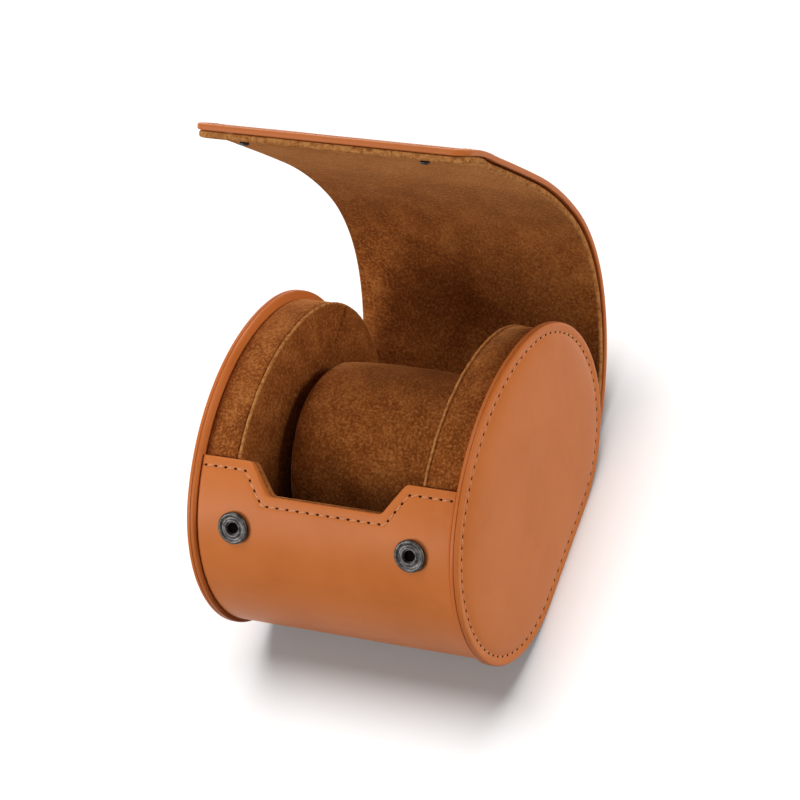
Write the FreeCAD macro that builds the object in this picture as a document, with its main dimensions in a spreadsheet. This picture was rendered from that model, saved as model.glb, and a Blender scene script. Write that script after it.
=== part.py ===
import FreeCAD, Part
import math
import os

import Sketcher

# The case stands on its flat underside at z = 0, with its origin at the centre of that face.
# +X is the right end panel, +Y is the back, where the lid is hinged, and +Z is up.
# The lid is drawn open, as photographed. An angle on the case's outline is the angle of the
# outline's normal from straight up, positive towards the back. Lengths are in millimetres.

# Driving dimensions, in millimetres and degrees
OUTLINE_SIZES = {
    "crown_radius": 60.5,
    "side_radius": 41.0,
    "corner_radius": 35.0,
    "crown_angle": 34.5,
    "side_angle": 105.0,
    "panel_half": 44.0,
    "panel_rim": 2.7,
    "glue_film": 0.1,
    "fit_gap": 0.3,
}
BASE_SIZES = {
    "wrap_inset": 1.2,
    "leather_thick": 1.6,
    "base_board_thick": 1.2,
    "lining_thick": 1.1,
    "wrap_front_angle": 22.5,
    "wrap_rear_angle": 168.0,
    "board_setback": 3.0,
    "lining_peek": 0.5,
    "notch_shoulder": 16.3,
    "notch_slant": 6.6,
    "notch_depth": 9.5,
    "notch_tilt": 27.0,
    "notch_reach": 7.0,
    "seam_inset": 2.9,
    "thread_width": 0.6,
    "thread_proud": 0.3,
}
PANEL_SIZES = {
    "skin_thick": 1.0,
    "backing_thick": 0.7,
    "dome_foot_inset": 4.0,
    "dome_shoulder_inset": 14.0,
    "dome_top_inset": 26.0,
    "dome_shoulder_rise": 1.0,
    "dome_top_rise": 1.4,
}
BLOCK_SIZES = {
    "block_width": 11.8,
    "face_thick": 1.0,
    "band_thick": 1.0,
    "block_drop": 2.6,
    "block_corner": 28.5,
}
LID_SIZES = {
    "lid_board_thick": 1.1,
    "lid_lining_thick": 1.1,
    "lid_gap": 0.4,
    "strip_widening": 0.48,
    "lid_board_margin": 1.4,
    "lid_lining_margin": 0.6,
    "lid_corner_radius": 4.5,
    "leather_fold_half": 0.35,
    "lining_fold_half": 0.9,
    "crease": 28.0,
    "flap_lift": 4.5,
    "heel_length": 27.5,
    "heel_radius": 31.0,
    "back_length": 34.0,
    "back_radius": 72.5,
    "shoulder_length": 37.5,
    "shoulder_radius": 57.0,
    "crown_length": 32.5,
    "crown_bend": 125.0,
    "brow_length": 31.0,
    "brow_radius": 1000.0,
    "flap_length": 21.5,
    "flap_radius": 62.5,
}
SNAP_SIZES = {
    "snap_setback": 12.7,
    "socket_angle": 45.3,
    "socket_radius": 4.8,
    "socket_height": 1.3,
    "socket_wall": 1.4,
    "socket_plate": 0.3,
    "socket_chamfer": 0.5,
    "hole_radius": 2.1,
    "mouth_radius": 1.9,
    "spring_width": 1.2,
    "spring_thick": 0.3,
    "rivet_head_radius": 2.8,
    "rivet_head_thick": 0.2,
    "rivet_shaft_radius": 1.9,
    "rivet_flange_radius": 4.0,
    "rivet_flange_thick": 0.5,
    "rivet_bore_depth": 0.2,
    "stud_from_edge": 5.0,
    "stud_radius": 1.5,
    "stud_tip_radius": 1.2,
    "stud_height": 1.4,
    "stud_chamfer": 0.4,
    "stud_bore_radius": 1.0,
    "stud_floor": 0.5,
    "cap_radius": 3.4,
    "cap_height": 0.5,
    "cap_edge": 0.1,
}
CUSHION_SIZES = {
    "cushion_y": 5.5,
    "cushion_gap": 2.0,
    "cushion_radius": 29.6,
    "cushion_edge_radius": 28.5,
    "cushion_end_radius": 25.6,
    "cushion_shoulder": 3.2,
    "cover_thick": 1.2,
    "end_cap_thick": 1.2,
}
STRIPS = (
    ("heel", "heel_length", "heel_radius"),
    ("back", "back_length", "back_radius"),
    ("shoulder", "shoulder_length", "shoulder_radius"),
    ("crown", "crown_length", "crown_bend"),
    ("brow", "brow_length", "brow_radius"),
    ("flap", "flap_length", "flap_radius"),
)

doc = FreeCAD.newDocument("watch_travel_case")
size = doc.addObject("Spreadsheet::Sheet", "Size")
worked = doc.addObject("Spreadsheet::Sheet", "Worked")
pieces = []


def fill(sheet, values):
    """Put each value in its own row of a sheet, under its own alias."""
    for row, (alias, value) in enumerate(values.items(), start=1):
        sheet.set(f"A{row}", alias)
        sheet.set(f"B{row}", str(value))
        sheet.setAlias(f"B{row}", alias)


def lid_path():
    """Return the formulas of the lid's outer path: where each strip starts, and its heading.

    The path starts where the base leather ends, round the rear corner, after one crease outwards.
    A heading is in degrees from +Y towards +Z. Every strip is one arc whose centre lies above it,
    and the flap is bent back a little from the line of the strips before it.
    """
    start_radius = "(Size.corner_radius - Size.wrap_inset)"
    formulas = {
        "heel_start_y": f"=corner_y + {start_radius} * sin(Size.wrap_rear_angle)",
        "heel_start_z": f"=Size.corner_radius + {start_radius} * cos(Size.wrap_rear_angle)",
        "heel_heading": "=180 - Size.wrap_rear_angle - Size.crease",
    }
    for (name, length, radius), (following, _, _) in zip(STRIPS, STRIPS[1:] + (("end", "", ""),)):
        formulas[f"{name}_turn"] = f"=Size.{length} / Size.{radius} * 180 / pi"
        after = f"({name}_heading + {name}_turn)"
        formulas[f"{name}_centre_y"] = f"={name}_start_y - Size.{radius} * sin({name}_heading)"
        formulas[f"{name}_centre_z"] = f"={name}_start_z + Size.{radius} * cos({name}_heading)"
        formulas[f"{following}_start_y"] = f"={name}_centre_y + Size.{radius} * sin({after})"
        formulas[f"{following}_start_z"] = f"={name}_centre_z - Size.{radius} * cos({after})"
        lift = " - Size.flap_lift" if following == "flap" else ""
        formulas[f"{following}_heading"] = f"={name}_heading + {name}_turn{lift}"
    return formulas


def worked_values():
    """Return the formulas that follow from the driving dimensions."""
    values = {
        "side_y": "=(Size.crown_radius - Size.side_radius) * sin(Size.crown_angle)",
        "side_z": "=Size.corner_radius - (Size.side_radius - Size.corner_radius) * cos(Size.side_angle)",
        "crown_z": "=side_z - (Size.crown_radius - Size.side_radius) * cos(Size.crown_angle)",
        "corner_y": "=side_y + (Size.side_radius - Size.corner_radius) * sin(Size.side_angle)",
        "panel_inner": "=Size.panel_half - Size.panel_rim",
        "base_half": "=panel_inner - Size.fit_gap",
        "block_inner": "=panel_inner - Size.block_width",
        "cushion_half": "=block_inner - Size.cushion_gap",
        "snap_half": "=panel_inner - Size.snap_setback",
        "notch_top_half": "=panel_inner - Size.notch_shoulder",
        "notch_bottom_half": "=notch_top_half - Size.notch_slant",
        "heel_half": "=panel_inner - Size.lid_gap",
        "lid_board_half": "=heel_half - Size.lid_board_margin",
        "lid_lining_half": "=heel_half - Size.lid_lining_margin",
        "board_inset": "=Size.wrap_inset + Size.leather_thick + Size.glue_film",
        "lining_inset": "=board_inset + Size.base_board_thick + Size.glue_film",
        "floor_inset": "=lining_inset + Size.lining_thick",
        "board_depth": "=Size.leather_thick + Size.glue_film",
        "lid_lining_depth": "=board_depth + Size.lid_board_thick + Size.glue_film",
        "lid_thick": "=lid_lining_depth + Size.lid_lining_thick",
    }
    values.update(lid_path())
    return values


def number(text):
    """Evaluate an expression of the sheets' values."""
    return float(size.evalExpression(text))


def on_case(angle, inset):
    """Return the expressions of a point on the case's outline, drawn inwards by inset.

    The angle is an expression such as '-Size.crown_angle', and the arc that holds it gives the centre.
    """
    turn = number(angle)
    side = "-" if turn < 0 else ""
    if abs(turn) <= number("Size.crown_angle"):
        centre_y, centre_z, radius = "0", "Worked.crown_z", "Size.crown_radius"
    elif abs(turn) <= number("Size.side_angle"):
        centre_y, centre_z, radius = f"{side}Worked.side_y", "Worked.side_z", "Size.side_radius"
    else:
        centre_y, centre_z, radius = f"{side}Worked.corner_y", "Size.corner_radius", "Size.corner_radius"
    reach = f"({radius} - ({inset}))"
    return f"{centre_y} + {reach} * sin({angle})", f"{centre_z} + {reach} * cos({angle})"


def on_lid(strip, along, depth):
    """Return the expressions of a point on a lid strip, at a length along it and a depth inwards."""
    name, _, radius = strip
    angle = f"(Worked.{name}_heading + ({along}) / Size.{radius} * 180 / pi)"
    reach = f"(Size.{radius} - ({depth}))"
    across = f"Worked.{name}_centre_y + {reach} * sin({angle})"
    return across, f"Worked.{name}_centre_z - {reach} * cos({angle})"


def edge_geometry(start, end, radius):
    """Return the line or arc from start to end, with the numbers of its first and last point."""
    if radius is None:
        return Part.LineSegment(start, end), 1, 2
    chord = end - start
    left = FreeCAD.Vector(-chord.y, chord.x, 0).normalize()
    rise = math.sqrt(radius**2 - (chord.Length / 2) ** 2)
    centre = (start + end) / 2 + left * math.copysign(rise, radius)
    angles = [math.atan2(point.y - centre.y, point.x - centre.x) for point in (start, end)]
    circle = Part.Circle(centre, FreeCAD.Vector(0, 0, 1), abs(radius))
    if radius > 0:
        return Part.ArcOfCircle(circle, angles[0], angles[1]), 1, 2
    return Part.ArcOfCircle(circle, angles[1], angles[0]), 2, 1


def draw(sketch, corners, radii):
    """Draw a closed outline in a sketch, with every corner and radius bound to an expression.

    corners are pairs of expressions. radii holds, for the edge after each corner, None for a line or
    an expression: positive where the arc's centre lies to the left of the way round, else negative.
    """
    points = [FreeCAD.Vector(number(across), number(up), 0) for across, up in corners]
    edges = []
    constraints = []
    bound = []
    for index, radius in enumerate(radii):
        following = (index + 1) % len(points)
        worth = None if radius is None else number(radius)
        edges.append(edge_geometry(points[index], points[following], worth))
    for index, (_, first, last) in enumerate(edges):
        following = (index + 1) % len(edges)
        constraints.append(Sketcher.Constraint("Coincident", index, last, following, edges[following][1]))
        for kind, axis, text, value in (
            ("DistanceX", -2, corners[index][0], points[index].x),
            ("DistanceY", -1, corners[index][1], points[index].y),
        ):
            if text == "0":
                constraints.append(Sketcher.Constraint("PointOnObject", index, first, axis))
                continue
            bound.append((len(constraints), text))
            constraints.append(Sketcher.Constraint(kind, -1, 1, index, first, value))
        if radii[index] is not None:
            worth = number(radii[index])
            bound.append((len(constraints), radii[index] if worth > 0 else f"-({radii[index]})"))
            constraints.append(Sketcher.Constraint("Radius", index, abs(worth)))
    sketch.addGeometry([geometry for geometry, _, _ in edges])
    sketch.addConstraint(constraints)
    for index, text in bound:
        sketch.setExpression(f"Constraints[{index}]", text)


def sketch_on(body, plane, name, shift, corners, radii):
    """Add a sketch to a body, on one of its origin planes moved along its normal by shift."""
    sketch = body.newObject("Sketcher::SketchObject", name)
    support = [part for part in body.Origin.OriginFeatures if part.Role == plane][0]
    sketch.AttachmentSupport = (support, [""])
    sketch.MapMode = "FlatFace"
    sketch.setExpression("AttachmentOffset.Base.z", shift)
    draw(sketch, corners, radii)
    return sketch


def prism(name, corners, radii, start, length):
    """Make a body: an outline in the Y-Z plane, padded along X from start."""
    body = doc.addObject("PartDesign::Body", name)
    sketch = sketch_on(body, "YZ_Plane", f"{name}_outline", start, corners, radii)
    pad = body.newObject("PartDesign::Pad", f"{name}_pad")
    pad.Profile = sketch
    pad.setExpression("Length", length)
    return body


def turned(name, corners, radii, axis):
    """Make a body turned round its own H_Axis (X) or V_Axis (Z) from an outline in its X-Z plane."""
    body = doc.addObject("PartDesign::Body", name)
    sketch = sketch_on(body, "XZ_Plane", f"{name}_outline", "0", corners, radii)
    revolution = body.newObject("PartDesign::Revolution", f"{name}_turned")
    revolution.Profile = sketch
    revolution.ReferenceAxis = (sketch, [axis])
    return body


def stand(thing, x, y, z, tilt):
    """Place a piece at a point, with its own Z axis tilted from straight up by an angle about X."""
    turn = FreeCAD.Rotation(FreeCAD.Vector(1, 0, 0), number(tilt))
    thing.Placement = FreeCAD.Placement(FreeCAD.Vector(), turn)
    thing.setExpression("Placement.Base.x", x)
    thing.setExpression("Placement.Base.y", y)
    thing.setExpression("Placement.Base.z", z)
    thing.setExpression("Placement.Rotation.Angle", tilt)


def cut(name, base, tool):
    """Cut one object with another."""
    result = doc.addObject("Part::Cut", name)
    result.Base = base
    result.Tool = tool
    return result


def joined(name, things):
    """Fuse several objects."""
    result = doc.addObject("Part::MultiFuse", name)
    result.Shapes = things
    return result


def mirrored(name, source):
    """Mirror a piece of the right-hand side onto the left."""
    result = doc.addObject("Part::Mirroring", name)
    result.Source = source
    result.Normal = FreeCAD.Vector(1, 0, 0)
    return result


def keep(thing, label):
    """Name an object as one of the pieces that are written out."""
    thing.Label = label
    pieces.append(thing)
    return thing


def both_sides(thing, label):
    """Keep a right-hand piece and its mirror image."""
    keep(thing, f"{label}_right")
    keep(mirrored(f"{label}_mirror", thing), f"{label}_left")


def case_outline(inset):
    """Return the closed outline of the whole case, drawn inwards by inset."""
    corners = [
        ("-Worked.corner_y", inset),
        ("Worked.corner_y", inset),
        on_case("Size.side_angle", inset),
        on_case("Size.crown_angle", inset),
        on_case("-Size.crown_angle", inset),
        on_case("-Size.side_angle", inset),
    ]
    radii = ("Size.corner_radius", "Size.side_radius", "Size.crown_radius")
    arcs = [f"{radius} - ({inset})" for radius in radii]
    return corners, [None, arcs[0], arcs[1], arcs[2], arcs[1], arcs[0]]


def on_foot(inset):
    """Return the expressions of half the width and the height of the underside, drawn inwards by inset.

    Under the case the wrap runs straight from both lower corners down to the level of the rims.
    """
    slope = "(180 - Size.wrap_rear_angle)"
    reach = f"(Size.corner_radius - ({inset})) * tan({slope} / 2)"
    return f"Worked.corner_y + {reach} - Size.wrap_inset / tan({slope})", f"{inset} - Size.wrap_inset"


def wrap_outline(outer, inner, setback):
    """Return the outline of a layer of the base: from its front edge, down and under, to the rear corner."""
    front = f"-(Size.wrap_front_angle + ({setback}) / Size.crown_radius * 180 / pi)"
    radii = ("Size.crown_radius", "Size.side_radius", "Size.corner_radius", None, None, None)
    path = []
    for inset in (outer, inner):
        foot_half, foot_z = on_foot(inset)
        path.append(
            [
                on_case(front, inset),
                on_case("-Size.crown_angle", inset),
                on_case("-Size.side_angle", inset),
                on_case("-Size.wrap_rear_angle", inset),
                (f"-({foot_half})", foot_z),
                (foot_half, foot_z),
                on_case("Size.wrap_rear_angle", inset),
            ]
        )
    out = [None if radius is None else f"{radius} - ({outer})" for radius in radii]
    back = [None if radius is None else f"-({radius} - ({inner}))" for radius in reversed(radii)]
    return path[0] + path[1][::-1], out + [None] + back + [None]


def wrap(name, outer, inner, half, setback):
    """Make a layer of the base as a body."""
    corners, radii = wrap_outline(outer, inner, setback)
    return prism(name, corners, radii, f"-({half})", f"2 * ({half})")


def notch(name, grow):
    """Make the cutter of the notch in the front edge, grown on its sides and bottom by grow.

    It is drawn in a plane that faces the middle of the notch and stands on the case's crown centre.
    """
    edge_angle = "(Size.notch_tilt - Size.wrap_front_angle)"
    edge = f"((Size.crown_radius - Size.wrap_inset) * sin({edge_angle}))"
    slope = "((Worked.notch_top_half - Worked.notch_bottom_half) / Size.notch_depth)"
    side = f"(({grow}) * sqrt(1 + {slope} * {slope}))"
    low = f"{edge} - Size.notch_depth - ({grow})"
    high = f"{edge} + Size.notch_reach"
    low_half = f"Worked.notch_bottom_half + {side} - {slope} * ({grow})"
    high_half = f"Worked.notch_top_half + {side} + {slope} * Size.notch_reach"
    body = doc.addObject("PartDesign::Body", name)
    corners = [(f"-({low_half})", low), (low_half, low), (high_half, high), (f"-({high_half})", high)]
    sketch = sketch_on(body, "XY_Plane", f"{name}_outline", "0", corners, [None] * 4)
    pad = body.newObject("PartDesign::Pad", f"{name}_pad")
    pad.Profile = sketch
    pad.setExpression("Length", "Size.crown_radius + Size.notch_reach")
    stand(body, "0", "0", "Worked.crown_z", "Size.notch_tilt")
    return body


def pin_pair(name, radius, place, low, high):
    """Make the two cylinders that cut a pair of holes, from a height low to high above their place."""
    pins = []
    seat = place(low)
    for side, sign in (("right", ""), ("left", "-")):
        pin = doc.addObject("Part::Cylinder", f"{name}_{side}")
        pin.setExpression("Radius", radius)
        pin.setExpression("Height", f"{high} - ({low})")
        stand(pin, f"{sign}Worked.snap_half", seat["y"], seat["z"], seat["tilt"])
        pins.append(pin)
    return joined(name, pins)


def socket_place(rise):
    """Return where a socket's own piece stands: on the wrap's outside, raised by rise along its normal."""
    across, up = on_case("-Size.socket_angle", f"Size.wrap_inset - ({rise})")
    return {"y": across, "z": up, "tilt": "Size.socket_angle"}


def stud_place(rise):
    """Return where a stud's own piece stands: on the flap's lining, raised by rise along its normal."""
    strip = STRIPS[-1]
    along = "Size.flap_length - Size.stud_from_edge"
    across, up = on_lid(strip, along, f"Worked.lid_thick + ({rise})")
    return {"y": across, "z": up, "tilt": f"Worked.flap_heading + ({along}) / Size.flap_radius * 180 / pi"}


def base():
    """Make the base's leather, board, lining and the thread along its front edge."""
    half = "Worked.base_half"
    leather = wrap("wrap_leather", "Size.wrap_inset", "Size.wrap_inset + Size.leather_thick", half, "0")
    leather = cut("wrap_leather_notched", leather, notch("leather_notch", "0"))
    seat_depth = "(Worked.board_depth + Size.base_board_thick)"
    through = (f"-{seat_depth} - Size.leather_thick", "Size.socket_height")
    holes = pin_pair("socket_holes", "Size.hole_radius", socket_place, *through)
    keep(cut("wrap_leather_holed", leather, holes), "base_leather")

    board_inside = "Worked.board_inset + Size.base_board_thick"
    board = wrap("wrap_board", "Worked.board_inset", board_inside, half, "Size.board_setback")
    board = cut("wrap_board_notched", board, notch("board_notch", "Size.board_setback"))
    seats = pin_pair("rivet_seats", "Size.rivet_flange_radius + Size.fit_gap", socket_place,
                     through[0], f"Size.rivet_flange_thick - {seat_depth}")
    board = cut("wrap_board_seated", board, seats)
    board_holes = pin_pair("board_holes", "Size.hole_radius", socket_place, *through)
    keep(cut("wrap_board_holed", board, board_holes), "base_board")

    lining = wrap("wrap_lining", "Worked.lining_inset", "Worked.floor_inset", half, "0")
    keep(cut("wrap_lining_notched", lining, notch("lining_notch", "-Size.lining_peek")), "base_lining")

    keep(edge_thread(half), "base_stitching")


def edge_thread(half):
    """Make the thread along the base's front edge and notch: the thin band between two setbacks."""
    outside = "Size.wrap_inset - Size.thread_proud"
    inside = "Size.wrap_inset - Size.glue_film / 2"
    bands = []
    for name, grow, band_half in (
        ("near", "Size.seam_inset - Size.thread_width / 2", f"{half} - Size.seam_inset"),
        ("far", "Size.seam_inset + Size.thread_width / 2", half),
    ):
        band = wrap(f"thread_{name}", outside, inside, band_half, grow)
        bands.append(cut(f"thread_{name}_notched", band, notch(f"thread_{name}_notch", grow)))
    return cut("wrap_thread", bands[0], bands[1])


def panel_dome(name, back, across_top):
    """Make the puffy middle of an end panel: a ruled loft through three outlines, set back by back."""
    levels = (
        ("foot", "Size.dome_foot_inset", "0"),
        ("shoulder", "Size.dome_shoulder_inset", "Size.dome_shoulder_rise"),
        ("top", "Size.dome_top_inset", "Size.dome_top_rise"),
    )
    body = doc.addObject("PartDesign::Body", name)
    sketches = []
    for level, inset, rise in levels:
        corners, radii = case_outline(f"{inset} + ({back})")
        shift = f"{across_top} + {rise}"
        sketches.append(sketch_on(body, "YZ_Plane", f"{name}_{level}", shift, corners, radii))
    loft = body.newObject("PartDesign::AdditiveLoft", f"{name}_loft")
    loft.Profile = sketches[0]
    loft.Sections = sketches[1:]
    loft.Ruled = True
    return body


def end_panels():
    """Make both end panels: leather with its rim, padding, board, backing and the thread round the rim."""
    rim = prism("rim_block", *case_outline("0"), "Worked.panel_inner", "Size.panel_rim")
    dome = panel_dome("rim_dome", "0", "Size.panel_half")
    hollow = prism("rim_hollow", *case_outline("Size.skin_thick"), "Worked.panel_inner - Size.skin_thick",
                   "Size.panel_rim")
    inner_dome = panel_dome("hollow_dome", "Size.skin_thick", "Size.panel_half - Size.skin_thick")
    outside = joined("panel_outside", [rim, dome])
    inside = joined("panel_inside", [hollow, inner_dome])
    both_sides(cut("panel_leather", outside, inside), "end_leather")

    both_sides(panel_dome("panel_padding", "Size.skin_thick + Size.fit_gap",
                          "Size.panel_half - Size.skin_thick - Size.glue_film"), "end_padding")
    snug = "Size.skin_thick + Size.glue_film"
    board_start = "Worked.panel_inner + Size.backing_thick + Size.glue_film"
    board_room = "Size.panel_rim - Size.skin_thick - Size.backing_thick - 2 * Size.glue_film"
    board = prism("panel_board", *case_outline(snug), board_start, f"{board_room} - Size.glue_film")
    both_sides(board, "end_board")
    backing = prism("panel_backing", *case_outline(snug), "Worked.panel_inner", "Size.backing_thick")
    both_sides(backing, "end_backing")

    outer = prism("panel_thread_outer", *case_outline("Size.seam_inset - Size.thread_width / 2"),
                  "Size.panel_half + Size.glue_film / 2", "Size.thread_proud")
    inner = prism("panel_thread_inner", *case_outline("Size.seam_inset + Size.thread_width / 2"),
                  "Size.panel_half", "2 * Size.thread_proud")
    both_sides(cut("panel_thread", outer, inner), "end_stitching")


def block_outline(shrink):
    """Return the outline of a block beside the cushion, shrunk by shrink.

    It lies under the wrap at the front and bottom, and stands out to carry the lid at the top and back.
    """
    low = f"Worked.floor_inset + Size.glue_film + ({shrink})"
    high = f"Size.block_drop + ({shrink})"
    step = f"-(Size.wrap_front_angle - (Size.fit_gap + ({shrink})) / Size.crown_radius * 180 / pi)"
    foot_half, foot_z = on_foot(low)
    corners = [
        (f"-({foot_half})", foot_z),
        (foot_half, foot_z),
        on_case("Size.wrap_rear_angle", low),
        on_case("Size.side_angle", high),
        on_case("Size.crown_angle", high),
        on_case(step, high),
        on_case(step, low),
        on_case("-Size.crown_angle", low),
        on_case("-Size.side_angle", low),
        on_case("-Size.wrap_rear_angle", low),
    ]
    radii = [
        None,
        None,
        f"Size.block_corner - ({shrink})",
        f"Size.side_radius - ({high})",
        f"Size.crown_radius - ({high})",
        None,
        f"Size.crown_radius - ({low})",
        f"Size.side_radius - ({low})",
        f"Size.corner_radius - ({low})",
        None,
    ]
    return corners, radii


def blocks():
    """Make both blocks beside the cushion: a core, a suede band round it and a suede face."""
    core_start = "Worked.block_inner + Size.face_thick + Size.glue_film"
    core_length = f"Worked.panel_inner - Size.glue_film - ({core_start})"
    band = prism("block_band_outer", *block_outline("0"), core_start, core_length)
    inside = block_outline("Size.band_thick")
    hollow = prism("block_band_inner", *inside, "Worked.block_inner", "Size.panel_half")
    both_sides(cut("block_band_ring", band, hollow), "block_band")
    filling = block_outline("Size.band_thick + Size.glue_film")
    core = prism("block_core_body", *filling, core_start, core_length)
    both_sides(core, "block_core")
    face = prism("block_face_body", *block_outline("0"), "Worked.block_inner", "Size.face_thick")
    both_sides(face, "block_face")


def strip_layer(name, strip, top, bottom, half, fold, round_corners):
    """Make one layer of one lid strip as a body: a bent sheet between two depths below its outside."""
    _, length, radius = strip
    last = strip is STRIPS[-1]
    end = f"Size.{length}" if last else f"Size.{length} - {fold}"
    corners = [
        on_lid(strip, fold, top),
        on_lid(strip, end, top),
        on_lid(strip, end, bottom),
        on_lid(strip, fold, bottom),
    ]
    radii = [f"Size.{radius} - ({top})", None, f"-(Size.{radius} - ({bottom}))", None]
    body = prism(name, corners, radii, f"-({half})", f"2 * ({half})")
    if last and round_corners:
        doc.recompute()
        pad = body.Tip
        edges = tip_edges(body, [number(text) for text in corners[1]], [number(text) for text in corners[2]])
        fillet = body.newObject("PartDesign::Fillet", f"{name}_corners")
        fillet.Base = (pad, edges)
        fillet.setExpression("Radius", "Size.lid_corner_radius")
        body.Tip = fillet
    return body


def tip_edges(body, outside, inside):
    """Return the names of the two short edges at the corners of a layer's free end."""
    middle = FreeCAD.Vector(0, (outside[0] + inside[0]) / 2, (outside[1] + inside[1]) / 2)
    reach = number("Size.glue_film")
    found = []
    for index, edge in enumerate(body.Tip.Shape.Edges, start=1):
        centre = edge.CenterOfMass
        if FreeCAD.Vector(0, centre.y, centre.z).distanceToPoint(middle) < reach and abs(centre.x) > reach:
            found.append(f"Edge{index}")
    return found


def lid():
    """Make the lid: leather, board and lining, each in strips that meet at the folds, and its thread."""
    layers = (
        ("leather", "0", "Size.leather_thick", "Size.leather_fold_half"),
        ("board", "Worked.board_depth", "Worked.board_depth + Size.lid_board_thick", "Size.lining_fold_half"),
        ("lining", "Worked.lid_lining_depth", "Worked.lid_thick", "Size.lining_fold_half"),
    )
    hole_radii = {"board": "Size.cap_radius + Size.fit_gap", "lining": "Size.stud_radius + Size.glue_film"}
    for count, strip in enumerate(STRIPS):
        widest = f"Worked.heel_half + {count} * Size.strip_widening"
        halves = {"leather": widest, "board": "Worked.lid_board_half", "lining": "Worked.lid_lining_half"}
        if strip is STRIPS[-1]:
            halves = {"leather": widest, "board": f"{widest} - Size.lid_board_margin",
                      "lining": f"{widest} - Size.lid_lining_margin"}
        for layer, top, bottom, fold in layers:
            half = halves[layer]
            body = strip_layer(f"{strip[0]}_{layer}", strip, top, bottom, half, fold, True)
            if strip is STRIPS[-1] and layer in hole_radii:
                holes = pin_pair(f"{layer}_stud_holes", hole_radii[layer], stud_place,
                                 "-2 * Worked.lid_thick", "Size.stud_height")
                body = cut(f"{strip[0]}_{layer}_holed", body, holes)
            keep(body, f"lid_{layer}_{strip[0]}")
    flap_thread()


def flap_thread():
    """Make the thread that runs round the flap's three free edges, on its outside."""
    strip = STRIPS[-1]
    flap_half = f"Worked.heel_half + {len(STRIPS) - 1} * Size.strip_widening"
    bands = []
    for name, inset, start, proud in (
        ("outer", "Size.seam_inset - Size.thread_width / 2", "Size.leather_fold_half", "1"),
        ("inner", "Size.seam_inset + Size.thread_width / 2", "0", "2"),
    ):
        top = f"-{proud} * Size.thread_proud"
        bottom = "-Size.glue_film / 2" if name == "outer" else "Size.thread_proud"
        end = f"Size.flap_length - ({inset})"
        corners = [
            on_lid(strip, start, top),
            on_lid(strip, end, top),
            on_lid(strip, end, bottom),
            on_lid(strip, start, bottom),
        ]
        radii = [f"Size.flap_radius - ({top})", None, f"-(Size.flap_radius - ({bottom}))", None]
        half = f"{flap_half} - ({inset})"
        bands.append(prism(f"flap_thread_{name}", corners, radii, f"-({half})", f"2 * ({half})"))
    keep(cut("flap_thread", bands[0], bands[1]), "flap_stitching")


def snap_piece(name, label, corners, place):
    """Make one turned metal piece for each side and stand both in place."""
    for side, sign in (("right", ""), ("left", "-")):
        body = turned(f"{name}_{side}", corners, [None] * len(corners), "V_Axis")
        stand(body, f"{sign}Worked.snap_half", place["y"], place["z"], place["tilt"])
        keep(body, f"{label}_{side}")


def snaps():
    """Make the snap fasteners: socket, spring and rivet on the base, stud and its hidden cap in the flap."""
    lift = "Size.glue_film / 2"
    wall = "Size.socket_radius - Size.socket_wall"
    lip = "Size.socket_height - Size.socket_plate"
    socket = [
        ("Size.hole_radius", "0"),
        ("Size.socket_radius", "0"),
        ("Size.socket_radius", "Size.socket_height - Size.socket_chamfer"),
        ("Size.socket_radius - Size.socket_chamfer", "Size.socket_height"),
        ("Size.mouth_radius", "Size.socket_height"),
        ("Size.mouth_radius", lip),
        (wall, lip),
        (wall, "Size.socket_plate"),
        ("Size.hole_radius", "Size.socket_plate"),
    ]
    snap_piece("socket_body", "socket", socket, socket_place(lift))

    spring_low = f"{lip} - Size.glue_film - Size.spring_thick"
    spring = [
        ("Size.mouth_radius", spring_low),
        ("Size.mouth_radius + Size.spring_width", spring_low),
        ("Size.mouth_radius + Size.spring_width", f"{lip} - Size.glue_film"),
        ("Size.mouth_radius", f"{lip} - Size.glue_film"),
    ]
    snap_piece("spring_body", "socket_spring", spring, socket_place(lift))

    head_low = "Size.socket_plate"
    head_high = f"{head_low} + Size.rivet_head_thick"
    flange_low = "-(Worked.board_depth + Size.base_board_thick)"
    bore = "Size.rivet_shaft_radius - Size.rivet_head_thick"
    rivet = [
        ("0", flange_low),
        ("Size.rivet_flange_radius", flange_low),
        ("Size.rivet_flange_radius", f"{flange_low} + Size.rivet_flange_thick - Size.glue_film"),
        ("Size.rivet_shaft_radius", f"{flange_low} + Size.rivet_flange_thick - Size.glue_film"),
        ("Size.rivet_shaft_radius", head_low),
        ("Size.rivet_head_radius", head_low),
        ("Size.rivet_head_radius", head_high),
        (bore, head_high),
        (bore, "-Size.rivet_bore_depth"),
        ("0", "-Size.rivet_bore_depth"),
    ]
    snap_piece("rivet_body", "socket_rivet", rivet, socket_place(lift))

    plate_low = "Worked.board_depth + Size.glue_film - Worked.lid_thick"
    plate_top = f"{plate_low} + Size.cap_height"
    shaft_low = f"{plate_top} + {lift}"
    stud = [
        ("0", "Size.stud_height"),
        ("0", "-Size.stud_floor"),
        ("Size.stud_bore_radius", "-Size.stud_floor"),
        ("Size.stud_bore_radius", shaft_low),
        ("Size.stud_radius", shaft_low),
        ("Size.stud_radius", "Size.stud_height - Size.stud_chamfer"),
        ("Size.stud_tip_radius", "Size.stud_height"),
    ]
    snap_piece("stud_body", "stud", stud, stud_place("0"))

    post = "Size.stud_bore_radius - Size.glue_film"
    cap = [
        ("0", plate_low),
        ("Size.cap_radius - Size.cap_edge", plate_low),
        ("Size.cap_radius", f"{plate_low} + Size.cap_edge"),
        ("Size.cap_radius", plate_top),
        (post, plate_top),
        (post, "-Size.stud_floor - Size.glue_film"),
        ("0", "-Size.stud_floor - Size.glue_film"),
    ]
    snap_piece("cap_body", "snap_cap", cap, stud_place("0"))


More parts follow.
